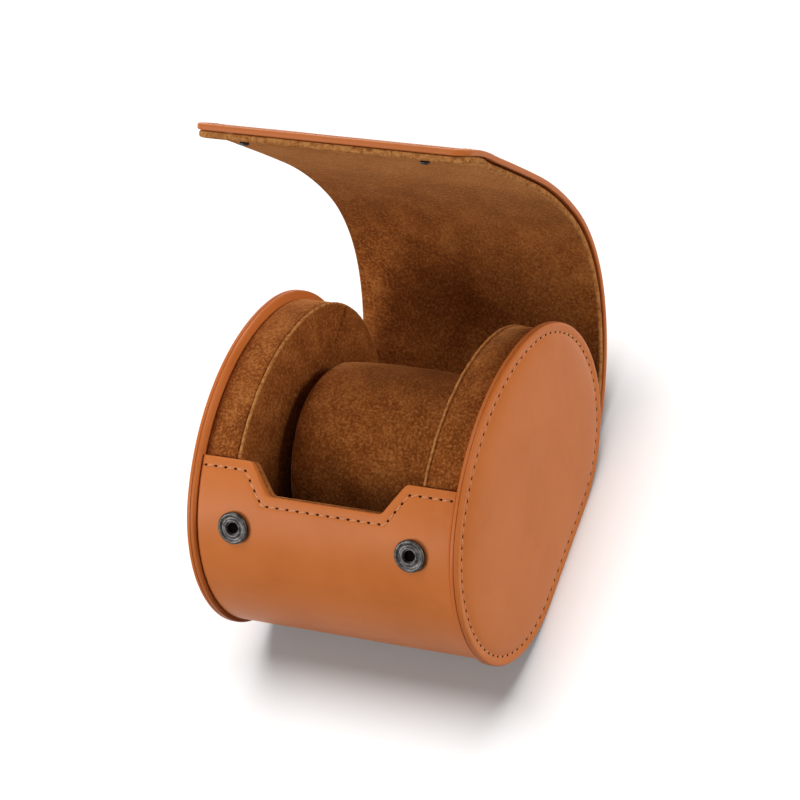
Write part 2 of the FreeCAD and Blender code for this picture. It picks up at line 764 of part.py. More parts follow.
def barrel_outline(half, shrink):
    """Return the half outline of a crowned roll about the X axis, with drawn-in ends."""
    shoulder = f"{half} - Size.cushion_shoulder"
    corners = [
        (f"-({half})", "0"),
        (half, "0"),
        (half, f"Size.cushion_end_radius - ({shrink})"),
        (shoulder, f"Size.cushion_edge_radius - ({shrink})"),
        (f"-({shoulder})", f"Size.cushion_edge_radius - ({shrink})"),
        (f"-({half})", f"Size.cushion_end_radius - ({shrink})"),
    ]
    rise = "(Size.cushion_radius - Size.cushion_edge_radius)"
    reach = "(Worked.cushion_half - Size.cushion_shoulder)"
    crown = f"({reach} * {reach} / {rise} + {rise}) / 2 - ({shrink})"
    edge = f"2 * Size.cushion_shoulder - ({shrink}) / 2"
    return corners, [None, None, edge, crown, edge, None]


def cushion():
    """Make the cushion: a foam core in a suede tube, closed by two suede end caps."""
    centre_z = "Worked.floor_inset - Size.wrap_inset + Size.fit_gap + Size.cushion_radius"
    tube_half = "Worked.cushion_half - Size.end_cap_thick - Size.glue_film"

    def roll(name, half, shrink):
        body = turned(name, *barrel_outline(half, shrink), "H_Axis")
        stand(body, "0", "Size.cushion_y", centre_z, "0")
        return body

    whole = roll("cushion_whole", "Worked.cushion_half", "0")
    room = roll("cushion_room", "Worked.cushion_half", "Size.cover_thick")
    slab_width = "2 * Size.cushion_radius + 2 * Size.cover_thick"

    def slab(name, low, length):
        box = doc.addObject("Part::Box", name)
        box.setExpression("Length", length)
        box.setExpression("Width", slab_width)
        box.setExpression("Height", slab_width)
        stand(box, low, f"Size.cushion_y - ({slab_width}) / 2", f"{centre_z} - ({slab_width}) / 2", "0")
        return box

    middle = slab("cushion_middle", f"-({tube_half})", f"2 * ({tube_half})")
    tube = cut("cushion_tube", whole, room)
    cover = doc.addObject("Part::Common", "cushion_cover_tube")
    cover.Base = tube
    cover.Tool = middle
    keep(cover, "cushion_cover")
    core_roll = roll("cushion_core_roll", "Worked.cushion_half", "Size.cover_thick + Size.glue_film")
    core = doc.addObject("Part::Common", "cushion_core_cut")
    core.Base = core_roll
    core.Tool = slab("cushion_core_middle", f"-({tube_half})", f"2 * ({tube_half})")
    keep(core, "cushion_core")
    cap = doc.addObject("Part::Common", "cushion_cap")
    cap.Base = roll("cushion_cap_roll", "Worked.cushion_half", "0")
    cap.Tool = slab("cushion_cap_slab", "Worked.cushion_half - Size.end_cap_thick", "2 * Size.end_cap_thick")
    both_sides(cap, "cushion_end")


def check_and_write():
    """Stop if any object failed or any piece is not a sound solid, and write every piece."""
    doc.recompute()
    for thing in doc.Objects:
        if "Invalid" in thing.State or "Error" in thing.State:
            raise RuntimeError(f"{thing.Label} failed: {thing.State}")
    os.makedirs("parts", exist_ok=True)
    for thing in pieces:
        shape = thing.Shape
        if shape.isNull() or not shape.isValid() or not shape.Solids:
            raise RuntimeError(f"{thing.Label} has no sound solid")
        shape.exportStep(f"parts/{thing.Label}.step")
        print(f"{thing.Label:26s} {len(shape.Solids)} solids {shape.Volume:10.1f} mm3")


all_sizes = {}
for group in (OUTLINE_SIZES, BASE_SIZES, PANEL_SIZES, BLOCK_SIZES, LID_SIZES, SNAP_SIZES, CUSHION_SIZES):
    all_sizes.update(group)
fill(size, all_sizes)
doc.recompute()
fill(worked, worked_values())
doc.recompute()
base()
end_panels()
blocks()
lid()
snaps()
cushion()
check_and_write()
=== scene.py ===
import logging
import math
from dataclasses import dataclass, field
from enum import Enum
from typing import Callable, Optional, Sequence

import bmesh
import bpy
import numpy as np
from mathutils import Matrix, Vector
from mathutils.bvhtree import BVHTree


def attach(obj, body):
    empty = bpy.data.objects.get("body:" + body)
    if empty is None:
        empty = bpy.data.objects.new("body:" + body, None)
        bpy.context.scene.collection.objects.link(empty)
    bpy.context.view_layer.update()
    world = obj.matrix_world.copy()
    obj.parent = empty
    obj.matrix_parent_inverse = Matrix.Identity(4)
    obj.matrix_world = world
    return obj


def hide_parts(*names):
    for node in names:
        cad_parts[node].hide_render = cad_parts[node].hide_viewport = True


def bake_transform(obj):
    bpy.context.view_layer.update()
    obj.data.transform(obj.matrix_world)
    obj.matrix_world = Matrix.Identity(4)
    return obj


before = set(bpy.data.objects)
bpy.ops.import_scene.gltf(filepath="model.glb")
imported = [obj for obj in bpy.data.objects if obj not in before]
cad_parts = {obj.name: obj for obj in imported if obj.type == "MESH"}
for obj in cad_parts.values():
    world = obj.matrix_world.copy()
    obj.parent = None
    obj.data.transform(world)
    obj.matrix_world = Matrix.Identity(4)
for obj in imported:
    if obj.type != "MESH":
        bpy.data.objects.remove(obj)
log = logging.getLogger("watch_travel_case")

# Metres in a millimetre: sizes are in millimetres until a mesh is made
MM = 0.001
# Points nearer than this many metres are merged
SAME_POINT = 1e-7
# Half the width of the wrap
WRAP_HALF = 41.0
# A distance that counts as far from every sewn edge
FAR = 99.0
# The Mix node's colour sockets go by number, because other kinds of socket share their names
MIX_FACTOR, MIX_BASE, MIX_OTHER, MIX_RESULT = 0, 6, 7, 2

Pair = tuple[float, float]
Point = tuple[float, float, float]
Colour = tuple[float, float, float, float]
Skin = tuple[np.ndarray, list[tuple[int, ...]]]
Socket = bpy.types.NodeSocket
Material = bpy.types.Material
Piece = bpy.types.Object


class Side(Enum):
    """The two ends of the case, with the sign of their X."""

    LEFT = -1
    RIGHT = 1

    @property
    def label(self) -> str:
        """Return the side's name as the pieces use it."""
        return self.name.lower()


class Layer(Enum):
    """The two layers of the wrap and lid that can be seen."""

    LEATHER = "leather"
    LINING = "lining"


# Finishes


class NodeSheet:
    """A material's node tree, with short calls for the nodes that the finishes use."""

    def __init__(self, name: str) -> None:
        """Start an empty material with a Principled shader.

        Args:
            name: The material's name.
        """
        self.material = bpy.data.materials.new(name)
        self.material.use_nodes = True
        self.tree = self.material.node_tree
        self.shader = self.tree.nodes["Principled BSDF"]
        self.place = self.node("TexCoord").outputs["Object"]

    def node(self, kind: str, **values: float | Point) -> bpy.types.Node:
        """Add a node and set values of its inputs.

        Args:
            kind: The node's type, without the word ShaderNode.
            values: Input names with underscores for spaces, and their values.

        Returns:
            The node.
        """
        node = self.tree.nodes.new(f"ShaderNode{kind}")
        for name, value in values.items():
            node.inputs[name.replace("_", " ")].default_value = value
        return node

    def link(self, source: Socket, target: Socket) -> None:
        """Link two sockets."""
        self.tree.links.new(source, target)

    def drive(self, name: str, source: Socket) -> None:
        """Link a source to one of the shader's own sockets."""
        self.link(source, self.shader.inputs[name])

    def noise(self, scale: float, detail: float, roughness: float = 0.5,
              place: Optional[Socket] = None) -> Socket:
        """Add a noise texture.

        Args:
            scale: Cells per metre.
            detail: Octaves of finer noise.
            roughness: Weight of the finer octaves.
            place: Coordinates to read, if not the object's own.

        Returns:
            The texture's factor.
        """
        node = self.node("TexNoise", Scale=scale, Detail=detail, Roughness=roughness)
        self.link(place or self.place, node.inputs["Vector"])
        return node.outputs["Fac"]

    def stretched(self, scale: Point, turn: Point) -> Socket:
        """Scale and turn the object's coordinates.

        Args:
            scale: Scale along each axis.
            turn: Turn about each axis, in radians.

        Returns:
            The new coordinates.
        """
        node = self.node("Mapping", Scale=scale, Rotation=turn)
        self.link(self.place, node.inputs["Vector"])
        return node.outputs["Vector"]

    def ramp(self, factor: Socket, *stops: tuple[float, Point]) -> Socket:
        """Map a factor to colours.

        Args:
            factor: The value to map.
            stops: Pairs of place and linear colour, in rising order.

        Returns:
            The ramp's colour.
        """
        node = self.node("ValToRGB")
        elements = node.color_ramp.elements
        while len(elements) < len(stops):
            elements.new(0.5)
        for element, (place, colour) in zip(elements, stops):
            element.position = place
            element.color = (*colour, 1.0)
        self.link(factor, node.inputs["Fac"])
        return node.outputs["Color"]

    def spread(self, factor: Socket, values: Pair, reach: Pair = (0.3, 0.7)) -> Socket:
        """Map a factor evenly from one range to another.

        Args:
            factor: The value to map.
            values: What it becomes at the start and the end of its reach, and beyond them.
            reach: Where it starts and ends to count.

        Returns:
            The new value.
        """
        (low, high), (start, end) = values, reach
        node = self.node("MapRange", From_Min=start, From_Max=end, To_Min=low, To_Max=high)
        self.link(factor, node.inputs["Value"])
        return node.outputs["Result"]

    def product(self, first: Socket, second: Socket) -> Socket:
        """Multiply two values.

        Args:
            first: One value.
            second: The other value.

        Returns:
            Their product.
        """
        node = self.node("Math")
        node.operation = "MULTIPLY"
        self.link(first, node.inputs[0])
        self.link(second, node.inputs[1])
        return node.outputs[0]

    def tinted(self, factor: Socket, base: Socket, other: Point) -> Socket:
        """Mix a plain colour into another one.

        Args:
            factor: How much of the plain colour is used.
            base: The colour that it is mixed into.
            other: The plain colour.

        Returns:
            The mixed colour.
        """
        node = self.node("Mix")
        node.data_type = "RGBA"
        self.link(factor, node.inputs[MIX_FACTOR])
        self.link(base, node.inputs[MIX_BASE])
        node.inputs[MIX_OTHER].default_value = (*other, 1.0)
        return node.outputs[MIX_RESULT]

    def bump(self, height: Socket, distance: float, strength: float,
             before: Optional[Socket] = None) -> Socket:
        """Add a relief.

        Args:
            height: The height's socket.
            distance: Depth of the relief in metres.
            strength: Share of it that is used.
            before: A normal that this one adds to.

        Returns:
            The new normal.
        """
        node = self.node("Bump", Distance=distance, Strength=strength)
        self.link(height, node.inputs["Height"])
        if before is not None:
            self.link(before, node.inputs["Normal"])
        return node.outputs["Normal"]

    def attribute(self, name: str) -> Socket:
        """Read a mesh attribute.

        Args:
            name: The attribute's name.

        Returns:
            Its factor.
        """
        node = self.node("Attribute")
        node.attribute_name = name
        return node.outputs["Fac"]

    def finish(self, **constants: float | Colour) -> Material:
        """Set constant values on the shader's own sockets.

        Args:
            constants: Socket names in lower case with underscores, and their values.

        Returns:
            The finished material.
        """
        for name, value in constants.items():
            label = " ".join(word if word == "IOR" else word.capitalize() for word in name.split("_"))
            self.shader.inputs[label].default_value = value
        return self.material


@dataclass(frozen=True)
class TanLeather:
    """Smooth tan leather with a fine grain, a satin gloss and slightly darker cut edges."""

    deep: Point = (0.560, 0.155, 0.032)
    middle: Point = (0.600, 0.172, 0.039)
    pale: Point = (0.630, 0.186, 0.045)
    edge: Point = (0.500, 0.132, 0.027)
    cloud: float = 38.0
    ripple: float = 240.0
    grain: float = 2600.0
    gloss: float = 0.36

    def build(self) -> Material:
        """Build the material.

        Returns:
            The material.
        """
        sheet = NodeSheet("tan_leather")
        cloud = sheet.noise(self.cloud, detail=4.0, roughness=0.6)
        colour = sheet.ramp(cloud, (0.32, self.deep), (0.5, self.middle), (0.7, self.pale))
        pores = sheet.noise(self.grain, detail=3.0, roughness=0.55)
        colour = sheet.tinted(sheet.spread(pores, (0.0, 0.22), (0.52, 0.72)), colour, self.deep)
        worn = sheet.spread(sheet.attribute("edge"), (0.0, 0.75), (0.0, 1.0))
        sheet.drive("Base Color", sheet.tinted(worn, colour, self.edge))
        sheet.drive("Roughness", sheet.spread(pores, (self.gloss - 0.05, self.gloss + 0.08)))
        ripple = sheet.bump(sheet.noise(self.ripple, detail=3.0), distance=0.00025, strength=0.12)
        sheet.drive("Normal", sheet.bump(pores, distance=0.00005, strength=0.35, before=ripple))
        return sheet.finish(coat_weight=0.03, coat_roughness=0.30, specular_IOR_level=0.09)


@dataclass(frozen=True)
class BrownSuede:
    """Brushed brown suede: a mottled nap with dark gaps and pale tips, raw and frayed at its cut edges."""

    deep: Point = (0.092, 0.019, 0.002)
    middle: Point = (0.252, 0.068, 0.011)
    pale: Point = (0.520, 0.195, 0.050)
    raw: Point = (0.520, 0.230, 0.070)
    blotch: float = 130.0
    brush: float = 30.0
    tufts: float = 520.0
    fuzz: float = 700.0
    nap: float = 1250.0

    def build(self) -> Material:
        """Build the material.

        Returns:
            The material.
        """
        sheet = NodeSheet("brown_suede")
        blotch = sheet.noise(self.blotch, detail=5.0, roughness=0.62)
        colour = sheet.ramp(blotch, (0.12, self.deep), (0.50, self.middle), (1.0, self.pale))
        slanted = sheet.stretched(scale=(1.0, 0.35, 0.35), turn=(0.0, 0.0, 0.4))
        brushed = sheet.noise(self.brush, detail=2.0, place=slanted)
        colour = sheet.tinted(sheet.spread(brushed, (0.0, 0.25), (0.45, 0.70)), colour, self.pale)
        fibres = sheet.noise(self.nap, detail=3.0, roughness=0.65)
        colour = sheet.tinted(sheet.spread(fibres, (0.0, 0.66), (0.48, 0.67)), colour, self.deep)
        colour = sheet.tinted(sheet.spread(fibres, (0.58, 0.0), (0.33, 0.48)), colour, self.pale)
        fuzz = sheet.spread(sheet.noise(self.fuzz, detail=4.0, roughness=0.7), (0.10, 1.0), (0.38, 0.60))
        torn = sheet.product(fuzz, sheet.attribute("edge"))
        sheet.drive("Base Color", sheet.tinted(torn, colour, self.raw))
        tufts = sheet.bump(sheet.noise(self.tufts, detail=4.0, roughness=0.6), distance=0.0006, strength=0.35)
        sheet.drive("Normal", sheet.bump(fibres, distance=0.00028, strength=0.8, before=tufts))
        return sheet.finish(roughness=0.96, specular_IOR_level=0.1, sheen_weight=0.80, sheen_roughness=0.36,
                            sheen_tint=(1.0, 0.43, 0.15, 1.0))


@dataclass(frozen=True)
class WaxedThread:
    """Tan thread with a twist along it."""

    dark: Point = (0.450, 0.140, 0.040)
    light: Point = (0.690, 0.280, 0.098)
    twist: float = 3200.0

    def build(self) -> Material:
        """Build the material.

        Returns:
            The material.
        """
        sheet = NodeSheet("waxed_thread")
        twist = sheet.noise(self.twist, detail=1.0)
        sheet.drive("Base Color", sheet.ramp(twist, (0.35, self.dark), (0.6, self.light)))
        sheet.drive("Normal", sheet.bump(twist, distance=0.00008, strength=0.5))
        return sheet.finish(roughness=0.6)


@dataclass(frozen=True)
class ShadedHollow:
    """Painted shade: a dark colour that stands for the shade in the mouth of a needle hole, or of a socket's
    well.
    """

    name: str = "needle_hole_shade"
    dark: Point = (0.024, 0.008, 0.003)
    light: Point = (0.060, 0.020, 0.007)
    fleck: float = 1500.0

    def build(self) -> Material:
        """Build the material.

        Returns:
            The material.
        """
        sheet = NodeSheet(self.name)
        colour = sheet.ramp(sheet.noise(self.fleck, detail=1.0), (0.3, self.dark), (0.7, self.light))
        sheet.drive("Base Color", colour)
        return sheet.finish(roughness=1.0, specular_IOR_level=0.0)


@dataclass(frozen=True)
class Gunmetal:
    """Dark plated metal, rubbed paler in places."""

    dark: Point = (0.030, 0.028, 0.027)
    worn: Point = (0.130, 0.123, 0.115)
    rub: float = 700.0
    pits: float = 2500.0

    def build(self) -> Material:
        """Build the material.

        Returns:
            The material.
        """
        sheet = NodeSheet("gunmetal")
        rub = sheet.noise(self.rub, detail=5.0, roughness=0.65)
        sheet.drive("Base Color", sheet.ramp(rub, (0.42, self.dark), (0.72, self.worn)))
        sheet.drive("Roughness", sheet.spread(rub, (0.28, 0.48)))
        sheet.drive("Normal", sheet.bump(sheet.noise(self.pits, detail=2.0), distance=0.00003, strength=0.4))
        return sheet.finish(metallic=1.0)


@dataclass(frozen=True)
class FibreBoard:
    """Pressed board inside the wrap, the lid and the end blocks."""

    dark: Point = (0.160, 0.100, 0.055)
    light: Point = (0.270, 0.185, 0.110)
    fleck: float = 900.0

    def build(self) -> Material:
        """Build the material.

        Returns:
            The material.
        """
        sheet = NodeSheet("fibre_board")
        fleck = sheet.noise(self.fleck, detail=5.0, roughness=0.7)
        sheet.drive("Base Color", sheet.ramp(fleck, (0.35, self.dark), (0.65, self.light)))
        sheet.drive("Normal", sheet.bump(fleck, distance=0.0001, strength=0.5))
        return sheet.finish(roughness=0.85)


@dataclass
class Wardrobe:
    """Every finish of the case, built once."""

    leather: Material = field(default_factory=lambda: TanLeather().build())
    suede: Material = field(default_factory=lambda: BrownSuede().build())
    thread: Material = field(default_factory=lambda: WaxedThread().build())
    # The hole and the well are painted shade: dark colours that stand for the shade inside needle holes and
    # inside the socket's hollow
    hole: Material = field(default_factory=lambda: ShadedHollow().build())
    well: Material = field(default_factory=lambda: ShadedHollow(
        "socket_well", (0.004, 0.003, 0.002), (0.010, 0.006, 0.004)).build())
    metal: Material = field(default_factory=lambda: Gunmetal().build())
    board: Material = field(default_factory=lambda: FibreBoard().build())


# Mesh helpers


def new_object(name: str, data: bpy.types.ID) -> Piece:
    """Make an object and put it in the scene.

    Args:
        name: Its name.
        data: Its mesh, camera or light.

    Returns:
        The object, at the origin.
    """
    thing = bpy.data.objects.new(name, data)
    bpy.context.scene.collection.objects.link(thing)
    return thing


def add_mesh(name: str, points: np.ndarray, faces: Sequence[Sequence[int]], material: Material,
             edge: Optional[np.ndarray] = None, sharp: float = 40.0) -> Piece:
    """Make a closed, smooth-shaded mesh object whose faces point outwards.

    Args:
        name: The object's name.
        points: Its points in millimetres.
        faces: Its faces as point numbers.
        material: Its material.
        edge: How far each point belongs to a cut edge, from 0 to 1.
        sharp: Edges that turn by more than this many degrees stay sharp.

    Returns:
        The object, at the origin.
    """
    mesh = bpy.data.meshes.new(name)
    corners = [tuple(point) for point in np.asarray(points, float) * MM]
    mesh.from_pydata(corners, [], [list(face) for face in faces])
    if edge is not None:
        values = np.asarray(edge, np.float32)
        mesh.attributes.new("edge", "FLOAT", "POINT").data.foreach_set("value", values)
    work = bmesh.new()
    work.from_mesh(mesh)
    bmesh.ops.remove_doubles(work, verts=work.verts, dist=SAME_POINT)
    bmesh.ops.dissolve_degenerate(work, edges=work.edges, dist=SAME_POINT)
    bmesh.ops.recalc_face_normals(work, faces=work.faces)
    work.to_mesh(mesh)
    work.free()
    mesh.shade_smooth()
    mesh.set_sharp_from_angle(angle=math.radians(sharp))
    mesh.materials.append(material)
    return new_object(name, mesh)


def dress(piece: Piece, body: str) -> Piece:
    """Give a piece its body, and report it.

    Args:
        piece: The piece.
        body: The body that it rides on.

    Returns:
        The same piece.
    """
    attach(piece, body)
    log.info("%s rides on %s", piece.name, body)
    return piece


def swept(rings: Sequence[np.ndarray], closed: bool) -> Skin:
    """Join equal rings of points into a skin.

    Args:
        rings: Arrays of points, each closed on itself, in order.
        closed: Whether the last ring joins the first. If not, both ends are capped.

    Returns:
        The points and the faces.
    """
    count, total = len(rings[0]), len(rings)
    faces: list[tuple[int, ...]] = []
    for row in range(total if closed else total - 1):
        here, there = row * count, (row + 1) % total * count
        for place in range(count):
            beside = (place + 1) % count
            faces.append((here + place, here + beside, there + beside, there + place))
    if not closed:
        faces.append(tuple(range(count))[::-1])
        faces.append(tuple(range((total - 1) * count, total * count)))
    return np.concatenate(rings), faces


def lathed(profile: Sequence[Pair], seat: Matrix, steps: int = 72) -> Skin:
    """Turn a closed half outline round its own Z axis and stand it in place.

    Args:
        profile: Pairs of radius and height in millimetres, as a closed loop.
        seat: Where the turned piece stands, in millimetres.
        steps: Points round the axis.

    Returns:
        The points and the faces.
    """
    rings = []
    for step in range(steps):
        angle = 2 * math.pi * step / steps
        ring = [seat @ Vector((r * math.cos(angle), r * math.sin(angle), h)) for r, h in profile]
        rings.append(np.array([tuple(point) for point in ring]))
    return swept(rings, True)


def rounded(radius: float, steps: int = 5) -> list[Pair]:
    """Return a quarter round as pairs of distance from the edge and depth below the face."""
    angles = [math.pi / 2 * step / (steps - 1) for step in range(steps)]
    return [(radius * (1 - math.cos(a)), radius * (1 - math.sin(a))) for a in angles]


def edge_drop(edge: np.ndarray, radius: float) -> np.ndarray:
    """Return how far a face drops at a distance from its edge, for a quarter round of that radius."""
    reach = np.clip(1 - edge / radius, 0, 1)
    return radius * (1 - np.sqrt(1 - reach**2))


def eased(value: np.ndarray | float, start: float, end: float) -> np.ndarray:
    """Return 0 before start, 1 after end and a smooth step between."""
    share = np.clip((np.asarray(value, float) - start) / (end - start), 0, 1)
    return share * share * (3 - 2 * share)


# The case's own lines


@dataclass(frozen=True)
class CaseOutline:
    """The rounded outline of an end panel in the Y-Z plane, in millimetres and degrees."""

    crown_radius: float = 60.5
    side_radius: float = 41.0
    corner_radius: float = 35.0
    crown_angle: float = 34.5
    side_angle: float = 105.0
    foot_steps: int = 6

    @property
    def centres(self) -> tuple[Pair, Pair, Pair]:
        """Work out where the outline's arcs turn.

        Returns:
            The centres of the crown, the rear side and the rear corner.
        """
        crown, side = math.radians(self.crown_angle), math.radians(self.side_angle)
        top = self.crown_radius - self.side_radius
        low = self.side_radius - self.corner_radius
        side_y = top * math.sin(crown)
        side_z = self.corner_radius - low * math.cos(side)
        corner = (side_y + low * math.sin(side), self.corner_radius)
        return (0.0, side_z - top * math.cos(crown)), (side_y, side_z), corner

    def point(self, angle: float, inset: float) -> Pair:
        """Find a point of the outline.

        Args:
            angle: The outline's normal from straight up, in degrees, positive towards the back.
            inset: How far inside the outline the point lies.

        Returns:
            The point's Y and Z.
        """
        turn = abs(angle)
        kind = 0 if turn <= self.crown_angle else 1 if turn <= self.side_angle else 2
        radius = (self.crown_radius, self.side_radius, self.corner_radius)[kind] - inset
        y, z = self.centres[kind]
        y = math.copysign(y, angle) if kind else 0.0
        return y + radius * math.sin(math.radians(angle)), z + radius * math.cos(math.radians(angle))

    def loop(self, step: float) -> tuple[np.ndarray, np.ndarray]:
        """Walk round the outline from the middle of the flat underside, over the back, crown and front.

        Args:
            step: The walk's step in millimetres.

        Returns:
            The points and their outward normals.
        """
        foot = self.centres[2][0]
        flat = [foot * k / self.foot_steps for k in range(self.foot_steps)]
        bounds = (180.0, self.side_angle, self.crown_angle, -self.crown_angle, -self.side_angle, -180.0)
        rear = (self.corner_radius, self.side_radius)
        radii = (*rear, self.crown_radius, *reversed(rear))
        points: list[Pair] = [(y, 0.0) for y in flat]
        normals: list[Pair] = [(0.0, -1.0)] * len(flat)
        for radius, start, end in zip(radii, bounds, bounds[1:]):
            count = max(2, round(radius * math.radians(abs(end - start)) / step))
            for k in range(count):
                angle = start + (end - start) * k / count
                points.append(self.point(angle, 0.0))
                normals.append((math.sin(math.radians(angle)), math.cos(math.radians(angle))))
        points += [(-y, 0.0) for y in [foot, *flat[:0:-1]]]
        normals += [(0.0, -1.0)] * len(flat)
        return np.array(points), np.array(normals)


@dataclass(frozen=True)
class Strip:
    """One of the lid's six strips: its name, its length along the outside and the radius it lies in."""

    name: str
    length: float
    radius: float


@dataclass
class SheetPath:
    """The line of the leather's outside: from the front edge, under the case, and up the open lid."""

    case: CaseOutline = field(default_factory=CaseOutline)
    inset: float = 1.2
    front_angle: float = 22.5
    rear_angle: float = 168.0
    crease: float = 28.0
    lead: float = 3.0
    step: float = 0.05
    flap_lift: float = 4.5
    softening: tuple[float, ...] = (2.5, 2.5, 2.6, 4.0)
    strips: tuple[Strip, ...] = (
        Strip("heel", 27.5, 31.0),
        Strip("back", 34.0, 72.5),
        Strip("shoulder", 37.5, 57.0),
        Strip("crown", 32.5, 125.0),
        Strip("brow", 31.0, 1000.0),
        Strip("flap", 21.5, 62.5),
    )

    def __post_init__(self) -> None:
        """Lay the line out as a fine table of points, with its corners softened."""
        corners = self.lay_out()
        self.folds = [self.wrap_end]
        for strip in self.strips:
            self.folds.append(self.folds[-1] + strip.length)
        for corner, window in zip(corners, self.softening):
            self.soften(corner, window)
        slope_y, slope_z = (np.gradient(self.table[:, axis], self.stations) for axis in (0, 1))
        size = np.hypot(slope_y, slope_z)
        self.tangent = np.stack([slope_y / size, slope_z / size], axis=1)

    @property
    def lead_angle(self) -> float:
        """Return how far the line runs on past the front edge, in degrees."""
        return math.degrees(self.lead / (self.case.crown_radius - self.inset))

    @property
    def end(self) -> float:
        """Return the station of the flap's free edge."""
        return self.folds[-1]

    def runs(self) -> list[tuple[float, Optional[float]]]:
        """List the line's runs from the front edge to the flap.

        Returns:
            Each run's length and curvature, or a corner's turn in degrees and None.
        """
        case, inset = self.case, self.inset
        foot_angle = 180 - self.rear_angle
        foot = case.centres[2][0] + (case.corner_radius - inset) * math.tan(math.radians(foot_angle / 2))
        foot -= inset / math.tan(math.radians(foot_angle))
        rear_y, rear_z = case.point(self.rear_angle, inset)
        slope = math.hypot(rear_y - foot, rear_z)

        def arc(radius: float, degrees: float) -> Pair:
            """Return an arc's length and curvature."""
            return (radius - inset) * math.radians(degrees), 1 / (radius - inset)

        runs = [
            arc(case.crown_radius, case.crown_angle - self.front_angle + self.lead_angle),
            arc(case.side_radius, case.side_angle - case.crown_angle),
            arc(case.corner_radius, self.rear_angle - case.side_angle),
            (slope, 0.0),
            (foot_angle, None),
            (2 * foot, 0.0),
            (foot_angle, None),
            (slope, 0.0),
            (-self.crease, None),
        ]
        runs += [(strip.length, 1 / strip.radius) for strip in self.strips]
        runs.insert(-1, (-self.flap_lift, None))
        return runs

    def lay_out(self) -> list[float]:
        """Walk along the runs and note stations and points in a fine table.

        Returns:
            The stations of the corners.
        """
        start = self.front_angle - self.lead_angle
        place = np.array(self.case.point(-start, self.inset))
        heading = -math.radians(180 - start)
        at, ends, corners = -self.lead, [], []
        stations, table = [at], [place]
        for length, curve in self.runs():
            if curve is None:
                heading += math.radians(length)
                corners.append(at)
                continue
            count = max(2, math.ceil(length / self.step))
            for k in range(1, count + 1):
                along = length * k / count
                if curve:
                    turn = heading + curve * along
                    chord = (math.sin(turn) - math.sin(heading), math.cos(heading) - math.cos(turn))
                    moved = np.array(chord) / curve
                else:
                    moved = np.array([math.cos(heading), math.sin(heading)]) * along
                stations.append(at + along)
                table.append(place + moved)
            place, at, heading = table[-1], at + length, heading + curve * length
            ends.append(at)
        self.stations, self.table = np.array(stations), np.array(table)
        self.wrap_end = ends[-1 - len(self.strips)]
        return corners

    def soften(self, corner: float, window: float) -> None:
        """Round a corner of the table by averaging over a window that narrows away from it.

        Args:
            corner: The corner's station.
            window: Half the window's width at the corner.
        """
        reach = window - np.abs(self.stations - corner)
        near = reach > self.step
        total = np.zeros_like(self.table)
        widths = np.diff(self.stations)[:, None]
        total[1:] = np.cumsum((self.table[1:] + self.table[:-1]) / 2 * widths, axis=0)
        for axis in (0, 1):
            low = np.interp(self.stations - reach, self.stations, total[:, axis])
            high = np.interp(self.stations + reach, self.stations, total[:, axis])
            average = (high - low) / np.where(near, 2 * reach, 1.0)
            self.table[:, axis] = np.where(near, average, self.table[:, axis])

    def at(self, station: np.ndarray | float, depth: np.ndarray | float = 0.0) -> np.ndarray:
        """Find points in the Y-Z plane.

        Args:
            station: Lengths along the line from the front edge.
            depth: How far inside the leather's outside the points lie.

        Returns:
            The points' Y and Z.
        """
        station = np.asarray(station, float)
        y, z, along_y, along_z = (np.interp(station, self.stations, values) for values in (
            self.table[:, 0], self.table[:, 1], self.tangent[:, 0], self.tangent[:, 1]))
        return np.stack([y - along_z * depth, z + along_y * depth], axis=-1)

    def outward(self, station: np.ndarray | float) -> np.ndarray:
        """Return the outward normals at stations along the line."""
        return self.at(station, 0.0) - self.at(station, 1.0)


